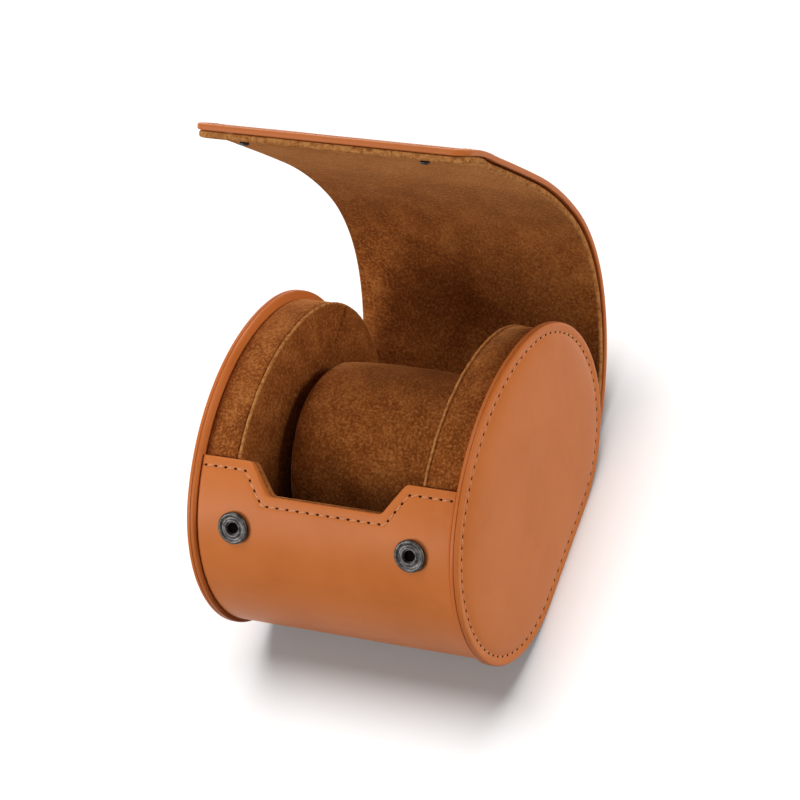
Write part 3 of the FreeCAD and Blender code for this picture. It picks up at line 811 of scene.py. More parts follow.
@dataclass(frozen=True)
class NotchLine:
    """The base's front edge with its notch, as a line of X against station, both in millimetres."""

    half: float = WRAP_HALF
    top_half: float = 25.0
    bottom_half: float = 18.4
    depth: float = 9.5
    corner: float = 2.2
    spread: float = 4.2
    round_steps: int = 6
    turn_share: float = 0.02

    def corners(self, grow: float) -> list[Pair]:
        """Find the edge's corners.

        Args:
            grow: How far into the leather the edge is moved.

        Returns:
            The X and station of both ends and of the notch's four corners.
        """
        slope = self.depth / (self.top_half - self.bottom_half)
        length = math.hypot(1, slope)
        tilt = (length - 1) / slope
        top, low = self.top_half + grow * tilt, self.bottom_half + grow * tilt
        rise = self.depth + grow
        return [(-self.half, grow), (-top, grow), (-low, rise), (low, rise), (top, grow), (self.half, grow)]

    def walk(self, grow: float, step: float, shares: Sequence[float]) -> list[np.ndarray]:
        """Walk along the edge with its corners rounded.

        Args:
            grow: How far inside the leather the walk runs.
            step: The largest step.
            shares: Extra stops on the two outermost runs, as distances from the side edges.

        Returns:
            Arrays of the points, their normals into the leather, and the run number plus the share of it.
        """
        corners = [np.array(point) for point in self.corners(grow)]
        points, normals, marks = [], [], []

        def across(way: np.ndarray) -> np.ndarray:
            """Return a direction turned by a quarter."""
            return np.array([-way[1], way[0]])

        def turned(way: np.ndarray, angle: float) -> np.ndarray:
            """Return a direction turned by an angle."""
            cosine, sine = math.cos(angle), math.sin(angle)
            return np.array([way[0] * cosine - way[1] * sine, way[0] * sine + way[1] * cosine])

        turns = []
        for before, here, after in zip(corners, corners[1:], corners[2:]):
            way, onward = here - before, after - here
            way, onward = way / np.linalg.norm(way), onward / np.linalg.norm(onward)
            turn = math.atan2(way[0] * onward[1] - way[1] * onward[0], float(way @ onward))
            back = self.corner * math.tan(abs(turn) / 2)
            turns.append((here - way * back, here + onward * back, way, turn))
        previous = corners[0]
        for run in range(len(turns) + 1):
            last = run == len(turns)
            target = corners[-1] if last else turns[run][0]
            way = (target - previous) / np.linalg.norm(target - previous)
            length = float(np.linalg.norm(target - previous))
            stops = set(np.linspace(0, 1, max(2, math.ceil(length / step) + 1)))
            if run == 0:
                stops |= {share / length for share in shares if share < length}
            if last:
                stops |= {1 - share / length for share in shares if share < length}
            for share in sorted(stops):
                if points and share == 0:
                    continue
                points.append(previous + (target - previous) * share)
                normals.append(across(way))
                marks.append(run + self.turn_share + (1 - 2 * self.turn_share) * share)
            if last:
                break
            first, previous, way, turn = turns[run]
            centre = first + across(way) * math.copysign(self.corner, turn)
            spoke = first - centre
            for k in range(1, self.round_steps + 1):
                angle = turn * k / self.round_steps
                points.append(centre + turned(spoke, angle))
                normals.append(across(turned(way, angle)))
                marks.append(run + (1 - self.turn_share) + 2 * self.turn_share * k / self.round_steps)
        return [np.array(points), np.array(normals), np.array(marks)]


# The wrap and the lid


@dataclass
class SheetGrid:
    """A grid of points on a sheet: station, X, and how far the nearest free edge and the front one are."""

    along: np.ndarray
    across: np.ndarray
    edge: np.ndarray
    front: np.ndarray

    def skin(self, path: SheetPath, top: Callable[["SheetGrid"], np.ndarray],
             bottom: Callable[["SheetGrid"], np.ndarray]) -> Skin:
        """Make the closed skin of a sheet from two depth rules.

        Args:
            path: The line that the sheet follows.
            top: Gives the depth of the outer face.
            bottom: Gives the depth of the inner face.

        Returns:
            The points and the faces.
        """
        rows, columns = self.along.shape
        shells = []
        for rule in (top, bottom):
            plane = path.at(self.along, rule(self))
            shells.append(np.stack([self.across, plane[..., 0], plane[..., 1]], axis=-1).reshape(-1, 3))
        count = rows * columns
        faces: list[tuple[int, ...]] = []
        for row in range(rows - 1):
            for here in range(row * columns, row * columns + columns - 1):
                quad = (here, here + 1, here + columns + 1, here + columns)
                faces.append(quad)
                faces.append(tuple(count + k for k in reversed(quad)))
        grid = np.arange(count).reshape(rows, columns)
        rim = np.concatenate([grid[0], grid[1:, -1], grid[-1, -2::-1], grid[-2:0:-1, 0]]).tolist()
        for here, there in zip(rim, rim[1:] + rim[:1]):
            faces.append((here, here + count, there + count, there))
        return np.concatenate(shells), faces


@dataclass
class Cover:
    """The leather wrap with its lid, or the suede lining inside both, each in six pieces.

    A piece runs from the middle of one strip to the middle of the next, across the fold between.
    Depths are measured inwards from the leather's outside. A lip is the depth of a layer's covered side at
    its free edge, and what the base adds to it. Stops are distances from an edge where rows or columns lie.
    A twin is a row close beside a piece's end row, and a spare is the least gap left before the last rows.
    """

    path: SheetPath
    layer: Layer
    wardrobe: Wardrobe
    step: float = 1.3
    column: float = 2.6
    straight: float = 26.0
    straight_rows: int = 9
    side_run: float = 4.3
    tip_radius: float = 4.5
    bend: float = 8.0
    seam: float = 2.9
    seam_width: float = 0.42
    seam_depth: float = 0.16
    sewn_reach: Pair = (40.0, 6.0)
    socket_seat: Pair = (19.92, 28.6)
    socket_dip: Pair = (0.35, 3.1)
    leather_back: float = 1.6
    leather_lip: Pair = (1.78, 0.8)
    leather_lip_reach: Pair = (0.7, 1.2)
    lining_face: float = 2.9
    lining_back: float = 4.0
    lining_lip: Pair = (1.94, 0.78)
    lining_lip_reach: Pair = (0.75, 1.25)
    base_gain: float = 1.3
    base_fade: Pair = (2.5, 3.0)
    seam_level: float = 0.12
    seam_start: float = 1.0
    seam_step: float = 0.7
    seam_clear: float = 0.8
    seam_nip: float = 0.25
    stitch_clear: float = 1.2
    waver_reach: Pair = (1.0, 6.0)
    back_waver: float = 1.4
    fray_start: float = 0.1
    base_wear: float = 0.3
    twin: float = 0.05
    spare: float = 0.4
    front_spare: float = 0.3
    tip_spare: float = 5.6
    leather_taper: Pair = (2.0, 1.0)
    leather_halves: tuple[float, ...] = (WRAP_HALF, WRAP_HALF, 40.9, 40.9, 41.3, 41.8, 42.3, 42.75, 43.3)
    lining_taper: Pair = (3.0, 2.0)
    lining_halves: Point = (WRAP_HALF, WRAP_HALF, 40.6)
    lining_flare: Point = (-1.0, 11.5, 1.5)
    lining_flap_halves: Point = (40.95, 42.6, 42.75)
    side_stops: tuple[float, ...] = (1.0, 1.3, 1.9, 2.5, 2.9, 3.3, 4.2)
    front_stops: tuple[float, ...] = (1.0, 1.3, 1.9, 2.4, 2.9, 3.4)
    tip_stops: tuple[float, ...] = (5.2, 4.5, 4.0, 3.4, 2.9, 2.4, 1.9, 1.5, 1.1, 0.8)

    @property
    def leather(self) -> bool:
        """Say whether this is the leather."""
        return self.layer is Layer.LEATHER

    @property
    def round_edge(self) -> float:
        """Return the radius of the layer's rounded edges."""
        return 0.45 if self.leather else 0.75

    @property
    def middle(self) -> float:
        """Return the depth of the layer's middle in the lid."""
        return 0.8 if self.leather else 3.4

    @property
    def shy(self) -> float:
        """Return how far the lining peeps out along the front edge, and stands back at the flap's."""
        return 0.0 if self.leather else 0.25

    @property
    def waver_depth(self) -> float:
        """Return how unevenly the layer lies."""
        return 0.035 if self.leather else 0.09

    @property
    def fray(self) -> float:
        """Return how far from a free edge its wear reaches."""
        return 0.5 if self.leather else 0.9

    @property
    def tip(self) -> int:
        """Return the number of the flap, the last strip."""
        return len(self.path.strips) - 1

    def half(self, station: np.ndarray | float) -> np.ndarray:
        """Work out how wide the layer is.

        Args:
            station: Lengths along the line.

        Returns:
            Half the layer's width there.
        """
        folds, heel = self.path.folds, self.path.wrap_end
        before, after = self.leather_taper if self.leather else self.lining_taper
        if self.leather:
            stops = [0, heel - before, heel + after, *folds[1:]]
            halves = self.leather_halves
        else:
            narrow, wide, widest = self.lining_flap_halves
            flap = folds[self.tip] + np.arange(*self.lining_flare)
            stops = [0, heel - before, heel + after, *flap, self.path.end]
            flap_halves = narrow + (wide - narrow) * eased(flap, flap[0], flap[-1])
            halves = [*self.lining_halves, *flap_halves, widest]
        return np.interp(station, stops, halves)

    def in_base(self, grid: SheetGrid) -> np.ndarray:
        """Say how far points belong to the base, where the board is thicker.

        Args:
            grid: The points.

        Returns:
            1 in the base, 0 in the lid and a smooth step between.
        """
        before, after = self.base_fade
        return 1 - eased(grid.along, self.path.wrap_end - before, self.path.wrap_end + after)

    def top(self, grid: SheetGrid) -> np.ndarray:
        """Work out the layer's outer face, which drops at the edge and in the seam's groove.

        Args:
            grid: The points.

        Returns:
            The face's depth.
        """
        drop = edge_drop(grid.edge, self.round_edge)
        if self.leather:
            groove = np.exp(-(((self.seam_distance(grid) - self.seam) / self.seam_width) ** 2))
            return drop + self.seam_depth * groove + self.waver(grid) + self.dip(grid)
        base = self.in_base(grid)
        level = self.lining_face + self.base_gain * base
        lip = self.lining_lip[0] + self.lining_lip[1] * base
        return level + (lip - level) * (1 - eased(grid.edge, *self.lining_lip_reach)) + drop

    def bottom(self, grid: SheetGrid) -> np.ndarray:
        """Work out the layer's inner face; the leather is thicker at its edge, where it covers the board.

        Args:
            grid: The points.

        Returns:
            The face's depth.
        """
        base = self.in_base(grid)
        drop = edge_drop(grid.edge, self.round_edge)
        if self.leather:
            level, lip = self.leather_back, self.leather_lip[0] + self.leather_lip[1] * base
            return level + (lip - level) * (1 - eased(grid.edge, *self.leather_lip_reach)) - drop
        return self.lining_back + self.base_gain * base - drop + self.waver(grid) * self.back_waver

    def dip(self, grid: SheetGrid) -> np.ndarray:
        """Work out how far the leather is pressed in under the sockets.

        Args:
            grid: The points.

        Returns:
            The dip's depth.
        """
        (station, x), (depth, radius) = self.socket_seat, self.socket_dip
        gap = np.hypot(grid.along - station, np.abs(grid.across) - x)
        return depth * np.exp(-((gap / radius) ** 6))

    def seam_distance(self, grid: SheetGrid) -> np.ndarray:
        """Work out the distance to the edges that are sewn.

        Args:
            grid: The points.

        Returns:
            The distance, or a large one where no sewn edge is near.
        """
        last, widest = self.sewn_reach
        sewn = (grid.along < last) & (grid.front < widest)
        flap = grid.along > self.path.folds[self.tip]
        return np.where(sewn, grid.front, np.where(flap, grid.edge, FAR))

    def waver(self, grid: SheetGrid) -> np.ndarray:
        """Work out the slight unevenness of a sheet laid by hand, never above the leather's outside.

        Args:
            grid: The points.

        Returns:
            The depth to add.
        """
        x, s = grid.across, grid.along
        size = self.waver_depth * eased(grid.edge, *self.waver_reach)
        # Two long swells that cross, and a shorter one over them
        swell = np.sin(x * 0.11 + s * 0.05) * np.sin(s * 0.13 - x * 0.04)
        return size * (1.5 * self.leather + swell + 0.5 * np.sin(x * 0.27 - s * 0.19 + 1.0))

    def margins(self) -> list[float]:
        """Return the distances from a side edge at which columns stand near it."""
        return [distance for distance, _ in rounded(self.round_edge)] + list(self.side_stops)

    def plain_rows(self, stations: np.ndarray) -> SheetGrid:
        """Make a grid of straight rows across the sheet.

        Args:
            stations: Where the rows lie.

        Returns:
            The grid.
        """
        margins = self.margins()
        inner = np.linspace(-1, 1, int(2 * (WRAP_HALF - margins[-1]) / self.column) + 1)[1:-1]
        across, edge = [], []
        for half in self.half(stations).tolist():
            x = np.concatenate([[-half + m for m in margins], inner * (half - margins[-1]),
                                [half - m for m in reversed(margins)]])
            across.append(x)
            edge.append(half - np.abs(x))
        along = np.repeat(stations[:, None], len(across[0]), axis=1)
        return SheetGrid(along, np.array(across), np.array(edge), np.full_like(along, FAR))

    def front_rows(self, last: float) -> SheetGrid:
        """Make the grid of the base's piece: rows that follow the notched edge and straighten below it.

        Args:
            last: The station of the last row.

        Returns:
            The grid.
        """
        line = NotchLine()
        points, normals, marks = line.walk(-self.shy, self.column, self.margins()[1:])
        corners = np.array(line.corners(line.spread))
        run = np.minimum(marks.astype(int), len(corners) - 2)
        share = marks - run
        far = corners[run] + (corners[run + 1] - corners[run]) * share[:, None]
        near = points + normals
        beside = np.abs(points[:, 0]) > WRAP_HALF - self.side_run
        for row in (far, near):
            row[:, 0] = np.where(beside, points[:, 0], row[:, 0])
        along, across, front = [], [], []

        def add_row(x: np.ndarray, station: np.ndarray | float, distance: np.ndarray | float) -> None:
            """Add a row.

            Args:
                x: Its X.
                station: Its stations, or the one that all of it has.
                distance: How far it is from the front edge.
            """
            across.append(x)
            along.append(station + np.zeros(len(x)))
            front.append(distance + np.zeros(len(x)))

        levels = [distance for distance, _ in rounded(self.round_edge)]
        for level in [*levels, *self.front_stops, line.spread]:
            if level <= 1:
                spot = points + (near - points) * level
            else:
                spot = near + (far - near) * ((level - 1) / (line.spread - 1))
            add_row(spot[:, 0], spot[:, 1], level)
        for share in np.linspace(0, 1, self.straight_rows + 1)[1:]:
            station = far[:, 1] + (self.straight - far[:, 1]) * share
            add_row(far[:, 0], station, station - far[:, 1] + line.spread)
        even = np.arange(self.straight + self.step, last - self.front_spare, self.step)
        for station in [*even, last - self.twin, last]:
            add_row(far[:, 0] * float(self.half(station)) / WRAP_HALF, station, FAR)
        stations, x, distances = np.array(along), np.array(across), np.array(front)
        side = self.half(stations) - np.abs(x)
        return SheetGrid(stations, x, np.maximum(np.minimum(distances, side), 0.0), distances)

    def tip_rows(self, first: float) -> SheetGrid:
        """Make the grid of the flap's piece, with rounded corners at its free edge.

        Args:
            first: The station of the first row.

        Returns:
            The grid.
        """
        end, radius = self.path.end - self.shy, self.tip_radius
        nearest = self.tip_stops[-1]
        fine = [distance for distance, _ in reversed(rounded(self.round_edge)) if distance < nearest]
        tail = [*self.tip_stops, *fine]
        even = np.arange(first + self.step, end - self.tip_spare, self.step)
        stations = np.array([first, first + self.twin, *even, *(end - value for value in tail)])
        grid = self.plain_rows(stations)
        for row, station in enumerate(stations):
            half = float(self.half(station))
            past = station - (end - radius)
            narrow = half - radius + math.sqrt(max(0.0, radius**2 - max(0.0, past)**2))
            grid.across[row] *= narrow / half
            for column, x in enumerate(grid.across[row]):
                aside = abs(x) - (half - radius)
                if aside > 0 and past > 0:
                    distance = radius - math.hypot(aside, past)
                else:
                    distance = min(half - abs(x), end - station)
                grid.edge[row, column] = max(0.0, distance)
        return grid

    def rows(self, number: int) -> SheetGrid:
        """Make the grid of one piece.

        Args:
            number: The piece's number, counted from the front edge.

        Returns:
            The grid.
        """
        folds = self.path.folds
        middles = [(a + b) / 2 for a, b in zip(folds, folds[1:])]
        if number == 0:
            return self.front_rows(middles[0])
        first, last = middles[number - 1], middles[number]
        if number == self.tip:
            return self.tip_rows(first)
        even = np.arange(first + self.step, last - self.spare, self.step)
        return self.plain_rows(np.array([first, first + self.twin, *even, last - self.twin, last]))

    def build(self) -> None:
        """Build the layer's six pieces, hide the CAD nodes that they stand for, and bake each piece's
        transform.
        """
        if self.leather:
            material, slot = self.wardrobe.leather, "leather"
        else:
            material, slot = self.wardrobe.suede, "suede"
        layer = self.layer.value
        for number, strip in enumerate(self.path.strips):
            grid = self.rows(number)
            edge = 1 - eased(np.concatenate([grid.edge.ravel()] * 2), self.fray_start, self.fray)
            nodes = [f"lid_{layer}_{strip.name}"]
            name = f"{nodes[0]}_bent"
            if number == 0:
                name = f"case_{layer}"
                nodes.append(f"base_{layer}")
                edge *= self.base_wear
            if number == self.tip and not self.leather:
                nodes.append("lid_board_flap")
            piece = add_mesh(name, *grid.skin(self.path, self.top, self.bottom), material, edge)
            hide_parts(*nodes)
            self.bend_across(piece, number)

    def bend_across(self, piece: Piece, number: int) -> None:
        """Bake a piece's transform into its mesh. The ends of a bend across one of the lid's folds are worked
        out, but nothing bends the piece.

        Args:
            piece: The piece.
            number: The fold's number, counted from the heel.
        """
        fold = self.path.folds[number]
        start, end = (self.path.at(fold + side * self.bend, self.middle) * MM for side in (-1, 1))
        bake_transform(piece)

    def placed(self, stations: np.ndarray, across: np.ndarray) -> "SeamLine":
        """Lay a line on the leather's outside, sunk into the seam's groove.

        Args:
            stations: The line's stations.
            across: Its X.

        Returns:
            The line.
        """
        plane, out = self.path.at(stations, self.seam_level), self.path.outward(stations)
        zero = np.zeros(len(stations))
        return SeamLine(np.column_stack([across, plane]), np.column_stack([zero, out]), False)

    def front_seam(self) -> "SeamLine":
        """Follow the base's front edge and notch.

        Returns:
            The line of their stitches.
        """
        grid = self.front_rows(self.path.wrap_end + 10.0)
        row = int(np.argmin(np.abs(grid.front[:, 0] - self.seam)))
        keep = np.abs(grid.across[row]) <= WRAP_HALF - self.stitch_clear
        return self.placed(grid.along[row][keep], grid.across[row][keep])

    def flap_seam(self) -> "SeamLine":
        """Follow the flap's three free edges.

        Returns:
            The line of their stitches.
        """
        first, last = self.path.folds[self.tip] + self.seam_start, self.path.end - self.seam
        clear, nip = self.seam_clear, self.seam_nip
        climb = np.arange(first, last - clear, self.seam_step)
        side = self.half(climb) - self.seam
        corner = float(self.half(last)) - self.seam
        across = np.arange(-corner + clear, corner - self.seam_step, self.seam_step)
        turn = [last - nip]
        stations = np.concatenate([climb, turn, np.full(len(across), last), turn, climb[::-1]])
        x = np.concatenate([-side, [nip - corner], across, [corner - nip], side[::-1]])
        return self.placed(stations, x)


# The ends of the case


@dataclass
class EndPanel:
    """A padded end panel: a flat back, a rim with a sewn groove, and a puffed middle.

    The profile gives pairs of inset from the case's outline and height along X, and a ripple's wave gives
    its rate and its start.
    """

    side: Side
    wardrobe: Wardrobe
    case: CaseOutline = field(default_factory=CaseOutline)
    walk_step: float = 1.7
    seam: Pair = (2.9, 43.68)
    middle: Pair = (0.0, 41.0)
    crest: float = 45.95
    crest_shares: tuple[float, ...] = (0.82, 0.6, 0.4, 0.2, 0.05)
    cut_edge: Pair = (0.25, 43.6)
    outer_face: float = 43.0
    ripple: float = 0.05
    ripple_reach: Pair = (6.0, 20.0)
    ripple_waves: tuple[Pair, Pair] = ((0.16, 0.6), (0.13, 0.4))
    fill: float = 0.8
    profile: tuple[Pair, ...] = (
        (8.0, 41.3), (3.0, 41.3), (0.8, 41.3), (0.3, 41.36), (0.06, 41.55), (0.0, 41.8), (0.0, 42.42),
        (0.2, 42.6), (0.0, 42.78), (0.0, 43.3), (0.08, 43.6), (0.28, 43.85), (0.6, 43.97), (1.0, 44.0),
        (1.6, 43.97), (2.2, 43.86), (2.6, 43.72), (2.9, 43.66), (3.2, 43.74), (3.6, 43.95), (4.1, 44.18),
        (5.0, 44.46), (6.0, 44.68), (7.5, 44.92), (9.0, 45.1), (11.0, 45.28), (14.0, 45.48), (18.0, 45.68),
        (22.0, 45.82), (26.0, 45.92),
    )

    def build(self) -> Piece:
        """Build the panel and dress it.

        Returns:
            The panel.
        """
        points, normals = self.case.loop(self.walk_step)
        (rate_y, start_y), (rate_z, start_z) = self.ripple_waves
        rings, edges = [], []
        for inset, x in self.profile:
            plane = points - normals * inset
            swell = self.ripple * eased(inset, *self.ripple_reach) * (x > self.outer_face)
            ripple = swell * np.sin(plane[:, 0] * rate_y + start_y) * np.sin(plane[:, 1] * rate_z + start_z)
            rings.append(np.column_stack([(x + ripple) * self.side.value, plane]))
            edges.append(np.full(len(plane), float(inset < self.cut_edge[0] and x < self.cut_edge[1])))
        last, centre = rings[-1], np.array(self.middle)
        for share in self.crest_shares:
            plane = centre + (last[:, 1:] - centre) * share
            x = last[:, 0] + (self.crest * self.side.value - last[:, 0]) * (1 - share)
            rings.append(np.column_stack([x, plane]))
            edges.append(np.zeros(len(plane)))
        label = self.side.label
        piece = add_mesh(f"panel_{label}", *swept(rings, False), self.wardrobe.leather, np.concatenate(edges))
        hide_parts(*(f"end_{part}_{label}" for part in ("leather", "padding", "backing")))
        return dress(piece, "base")

    def seam_line(self) -> "SeamLine":
        """Follow the groove round the rim.

        Returns:
            The line of the panel's stitches.
        """
        points, normals = self.case.loop(self.walk_step)
        plane = points - normals * self.seam[0]
        line = np.column_stack([np.full(len(plane), self.seam[1] * self.side.value), plane])
        return SeamLine(line, np.tile([float(self.side.value), 0.0, 0.0], (len(line), 1)), True)


@dataclass
class EndBlock:
    """A block beside the cushion: board covered with a suede face and a band, joined by a raised seam.

    The face gives pairs of share of the way out from its middle and X, the band pairs of shrink and X. Points
    are counts of points along the runs of the outline.
    """

    side: Side
    wardrobe: Wardrobe
    case: CaseOutline = field(default_factory=CaseOutline)
    low: float = 5.4
    high: float = 2.6
    wrap_inset: float = 1.2
    foot_slope: float = 12.0
    rear_radius: float = 28.5
    front_angle: float = 22.5
    gap: float = 0.3
    face_shrink: float = 1.6
    middle: Pair = (0.0, 42.5)
    slit: tuple[Pair, Pair] = ((46.6, 51.65), (33.6, 49.1))
    slit_cut: Pair = (1.3, 0.42)
    slit_lip: Point = (0.3, 0.95, 0.4)
    slit_angles: Point = (63.4, 69.4, 0.3)
    slit_clear: Pair = (70.0, 63.0)
    slit_reach: Pair = (0.2, 30.0)
    ragged: Point = (0.1, 2.3, 0.9)
    ragged_reach: Pair = (0.35, 30.7)
    raw_edge: Point = (-0.35, 0.1, 30.3)
    foot_points: tuple[int, int] = (13, 7)
    rear_points: int = 17
    top_points: tuple[int, int, int] = (13, 11, 26)
    ledge_points: int = 6
    front_points: tuple[int, int, int] = (7, 22, 18)
    face: tuple[Pair, ...] = (
        (0.05, 29.2), (0.2, 29.21), (0.4, 29.25), (0.55, 29.3), (0.66, 29.36), (0.7, 29.38), (0.735, 29.4),
        (0.78, 29.42), (0.85, 29.45), (0.92, 29.48),
    )
    band: tuple[Pair, ...] = (
        (1.6, 29.5), (0.9, 29.49), (0.4, 29.48), (0.05, 29.53), (-0.2, 29.68), (-0.3, 29.95), (-0.24, 30.22),
        (-0.02, 30.42), (0.32, 30.6), (0.1, 30.84), (-0.02, 31.2), (-0.1, 33.0), (-0.15, 36.0), (-0.1, 39.0),
        (0.04, 40.6), (0.3, 41.1), (0.7, 41.2), (1.0, 41.2), (1.0, 36.0), (1.0, 30.6),
    )

    def outline(self, shrink: float) -> np.ndarray:
        """Walk round the block, with finer steps where the slit meets its edge.

        Args:
            shrink: How much smaller the block is all round.

        Returns:
            The points' Y and Z.
        """
        case, low, high = self.case, self.low + max(shrink, 0.0), self.high + shrink
        slope = math.radians(self.foot_slope)
        foot = case.centres[2][0] + (case.corner_radius - low) * math.tan(slope / 2)
        foot -= self.wrap_inset / math.tan(slope)
        rear = 180 - self.foot_slope
        step = -self.front_angle + math.degrees((self.gap + max(shrink, 0.0)) / case.crown_radius)
        left, right = (-foot, low - self.wrap_inset), (foot, low - self.wrap_inset)
        heel, hip = np.array(case.point(rear, low)), np.array(case.point(case.side_angle, high))
        chord = hip - heel
        length = float(np.hypot(*chord))
        radius = self.rear_radius - shrink
        rise = math.sqrt(radius**2 - length**2 / 4)
        centre = (heel + hip) / 2 + np.array([-chord[1], chord[0]]) / length * rise
        start, end = (math.atan2(*(p - centre)[::-1]) for p in (heel, hip))
        end += 2 * math.pi if end < start else 0.0
        turns = np.linspace(start, end, self.rear_points)[:-1]
        flat, climb = self.foot_points
        points = [np.linspace(left, right, flat)[:-1], np.linspace(right, heel, climb)[:-1],
                  centre + radius * np.column_stack([np.cos(turns), np.sin(turns)])]
        crown, side = case.crown_angle, case.side_angle
        (before, after), counts = self.slit_clear, self.top_points
        top_angles = np.concatenate([
            np.linspace(side, before, counts[0]), np.arange(*self.slit_angles)[::-1],
            np.linspace(after, crown, counts[1]), np.linspace(crown - 0.1, step, counts[2])])
        points.append(np.array([case.point(angle, high) for angle in top_angles]))
        points.append(np.linspace(case.point(step, high), case.point(step, low), self.ledge_points)[1:])
        bounds = (step, -crown, -side, -rear)
        for start, end, count in zip(bounds, bounds[1:], self.front_points):
            points.append(np.array([case.point(a, low) for a in np.linspace(start, end, count)[1:]]))
        points.append(np.linspace(case.point(-rear, low), left, climb)[1:-1])
        return np.concatenate(points)

    def cut_depth(self, plane: np.ndarray) -> np.ndarray:
        """Work out the slit in the left block's face, with its raised lips.

        Args:
            plane: The points' Y and Z.

        Returns:
            How deep the slit is there.
        """
        if self.side is Side.RIGHT:
            return np.zeros(len(plane))
        start, end = (np.array(point) for point in self.slit)
        way = end - start
        share = np.clip((plane - start) @ way / (way @ way), 0, 1)
        gap = np.linalg.norm(plane - (start + share[:, None] * way), axis=1)
        (depth, width), (height, away, spread) = self.slit_cut, self.slit_lip
        return depth * np.exp(-((gap / width) ** 2)) - height * np.exp(-(((gap - away) / spread) ** 2))

    def unevenness(self, total: int, shrink: float, x: float) -> np.ndarray:
        """Work out how raggedly the raised seam is cut.

        Args:
            total: How many points the ring has.
            shrink: How much smaller than the block the ring is.
            x: The ring's X.

        Returns:
            What is added to the X of each of its points.
        """
        (size, fast, slow), (most, outer) = self.ragged, self.ragged_reach
        count = np.arange(total)
        return size * np.sin(count * fast) * np.sin(count * slow + 1.0) * (shrink < most) * (x < outer)

    def build(self) -> Piece:
        """Build the block's cover and dress it.

        Returns:
            The cover.
        """
        base, centre = self.outline(self.face_shrink), np.array(self.middle)
        rings, edges = [], []
        for share, x in self.face:
            plane = centre + (base - centre) * share
            rings.append(np.column_stack([x + self.cut_depth(plane), plane]))
            edges.append(np.zeros(len(plane)))
        (least, inner), (low, high, front) = self.slit_reach, self.raw_edge
        for shrink, x in self.band:
            plane = self.outline(shrink)
            sunk = self.cut_depth(plane) * (x < inner) * (shrink > least)
            rings.append(np.column_stack([x + sunk + self.unevenness(len(plane), shrink, x), plane]))
            edges.append(np.full(len(plane), float(low < shrink < high and x < front)))
        vertices, faces = swept(rings, False)
        vertices[:, 0] *= self.side.value
        label = self.side.label
        piece = add_mesh(f"block_{label}", vertices, faces, self.wardrobe.suede, np.concatenate(edges))
        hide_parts(f"block_band_{label}", f"block_face_{label}")
        return dress(piece, "base")


# The roll cushion


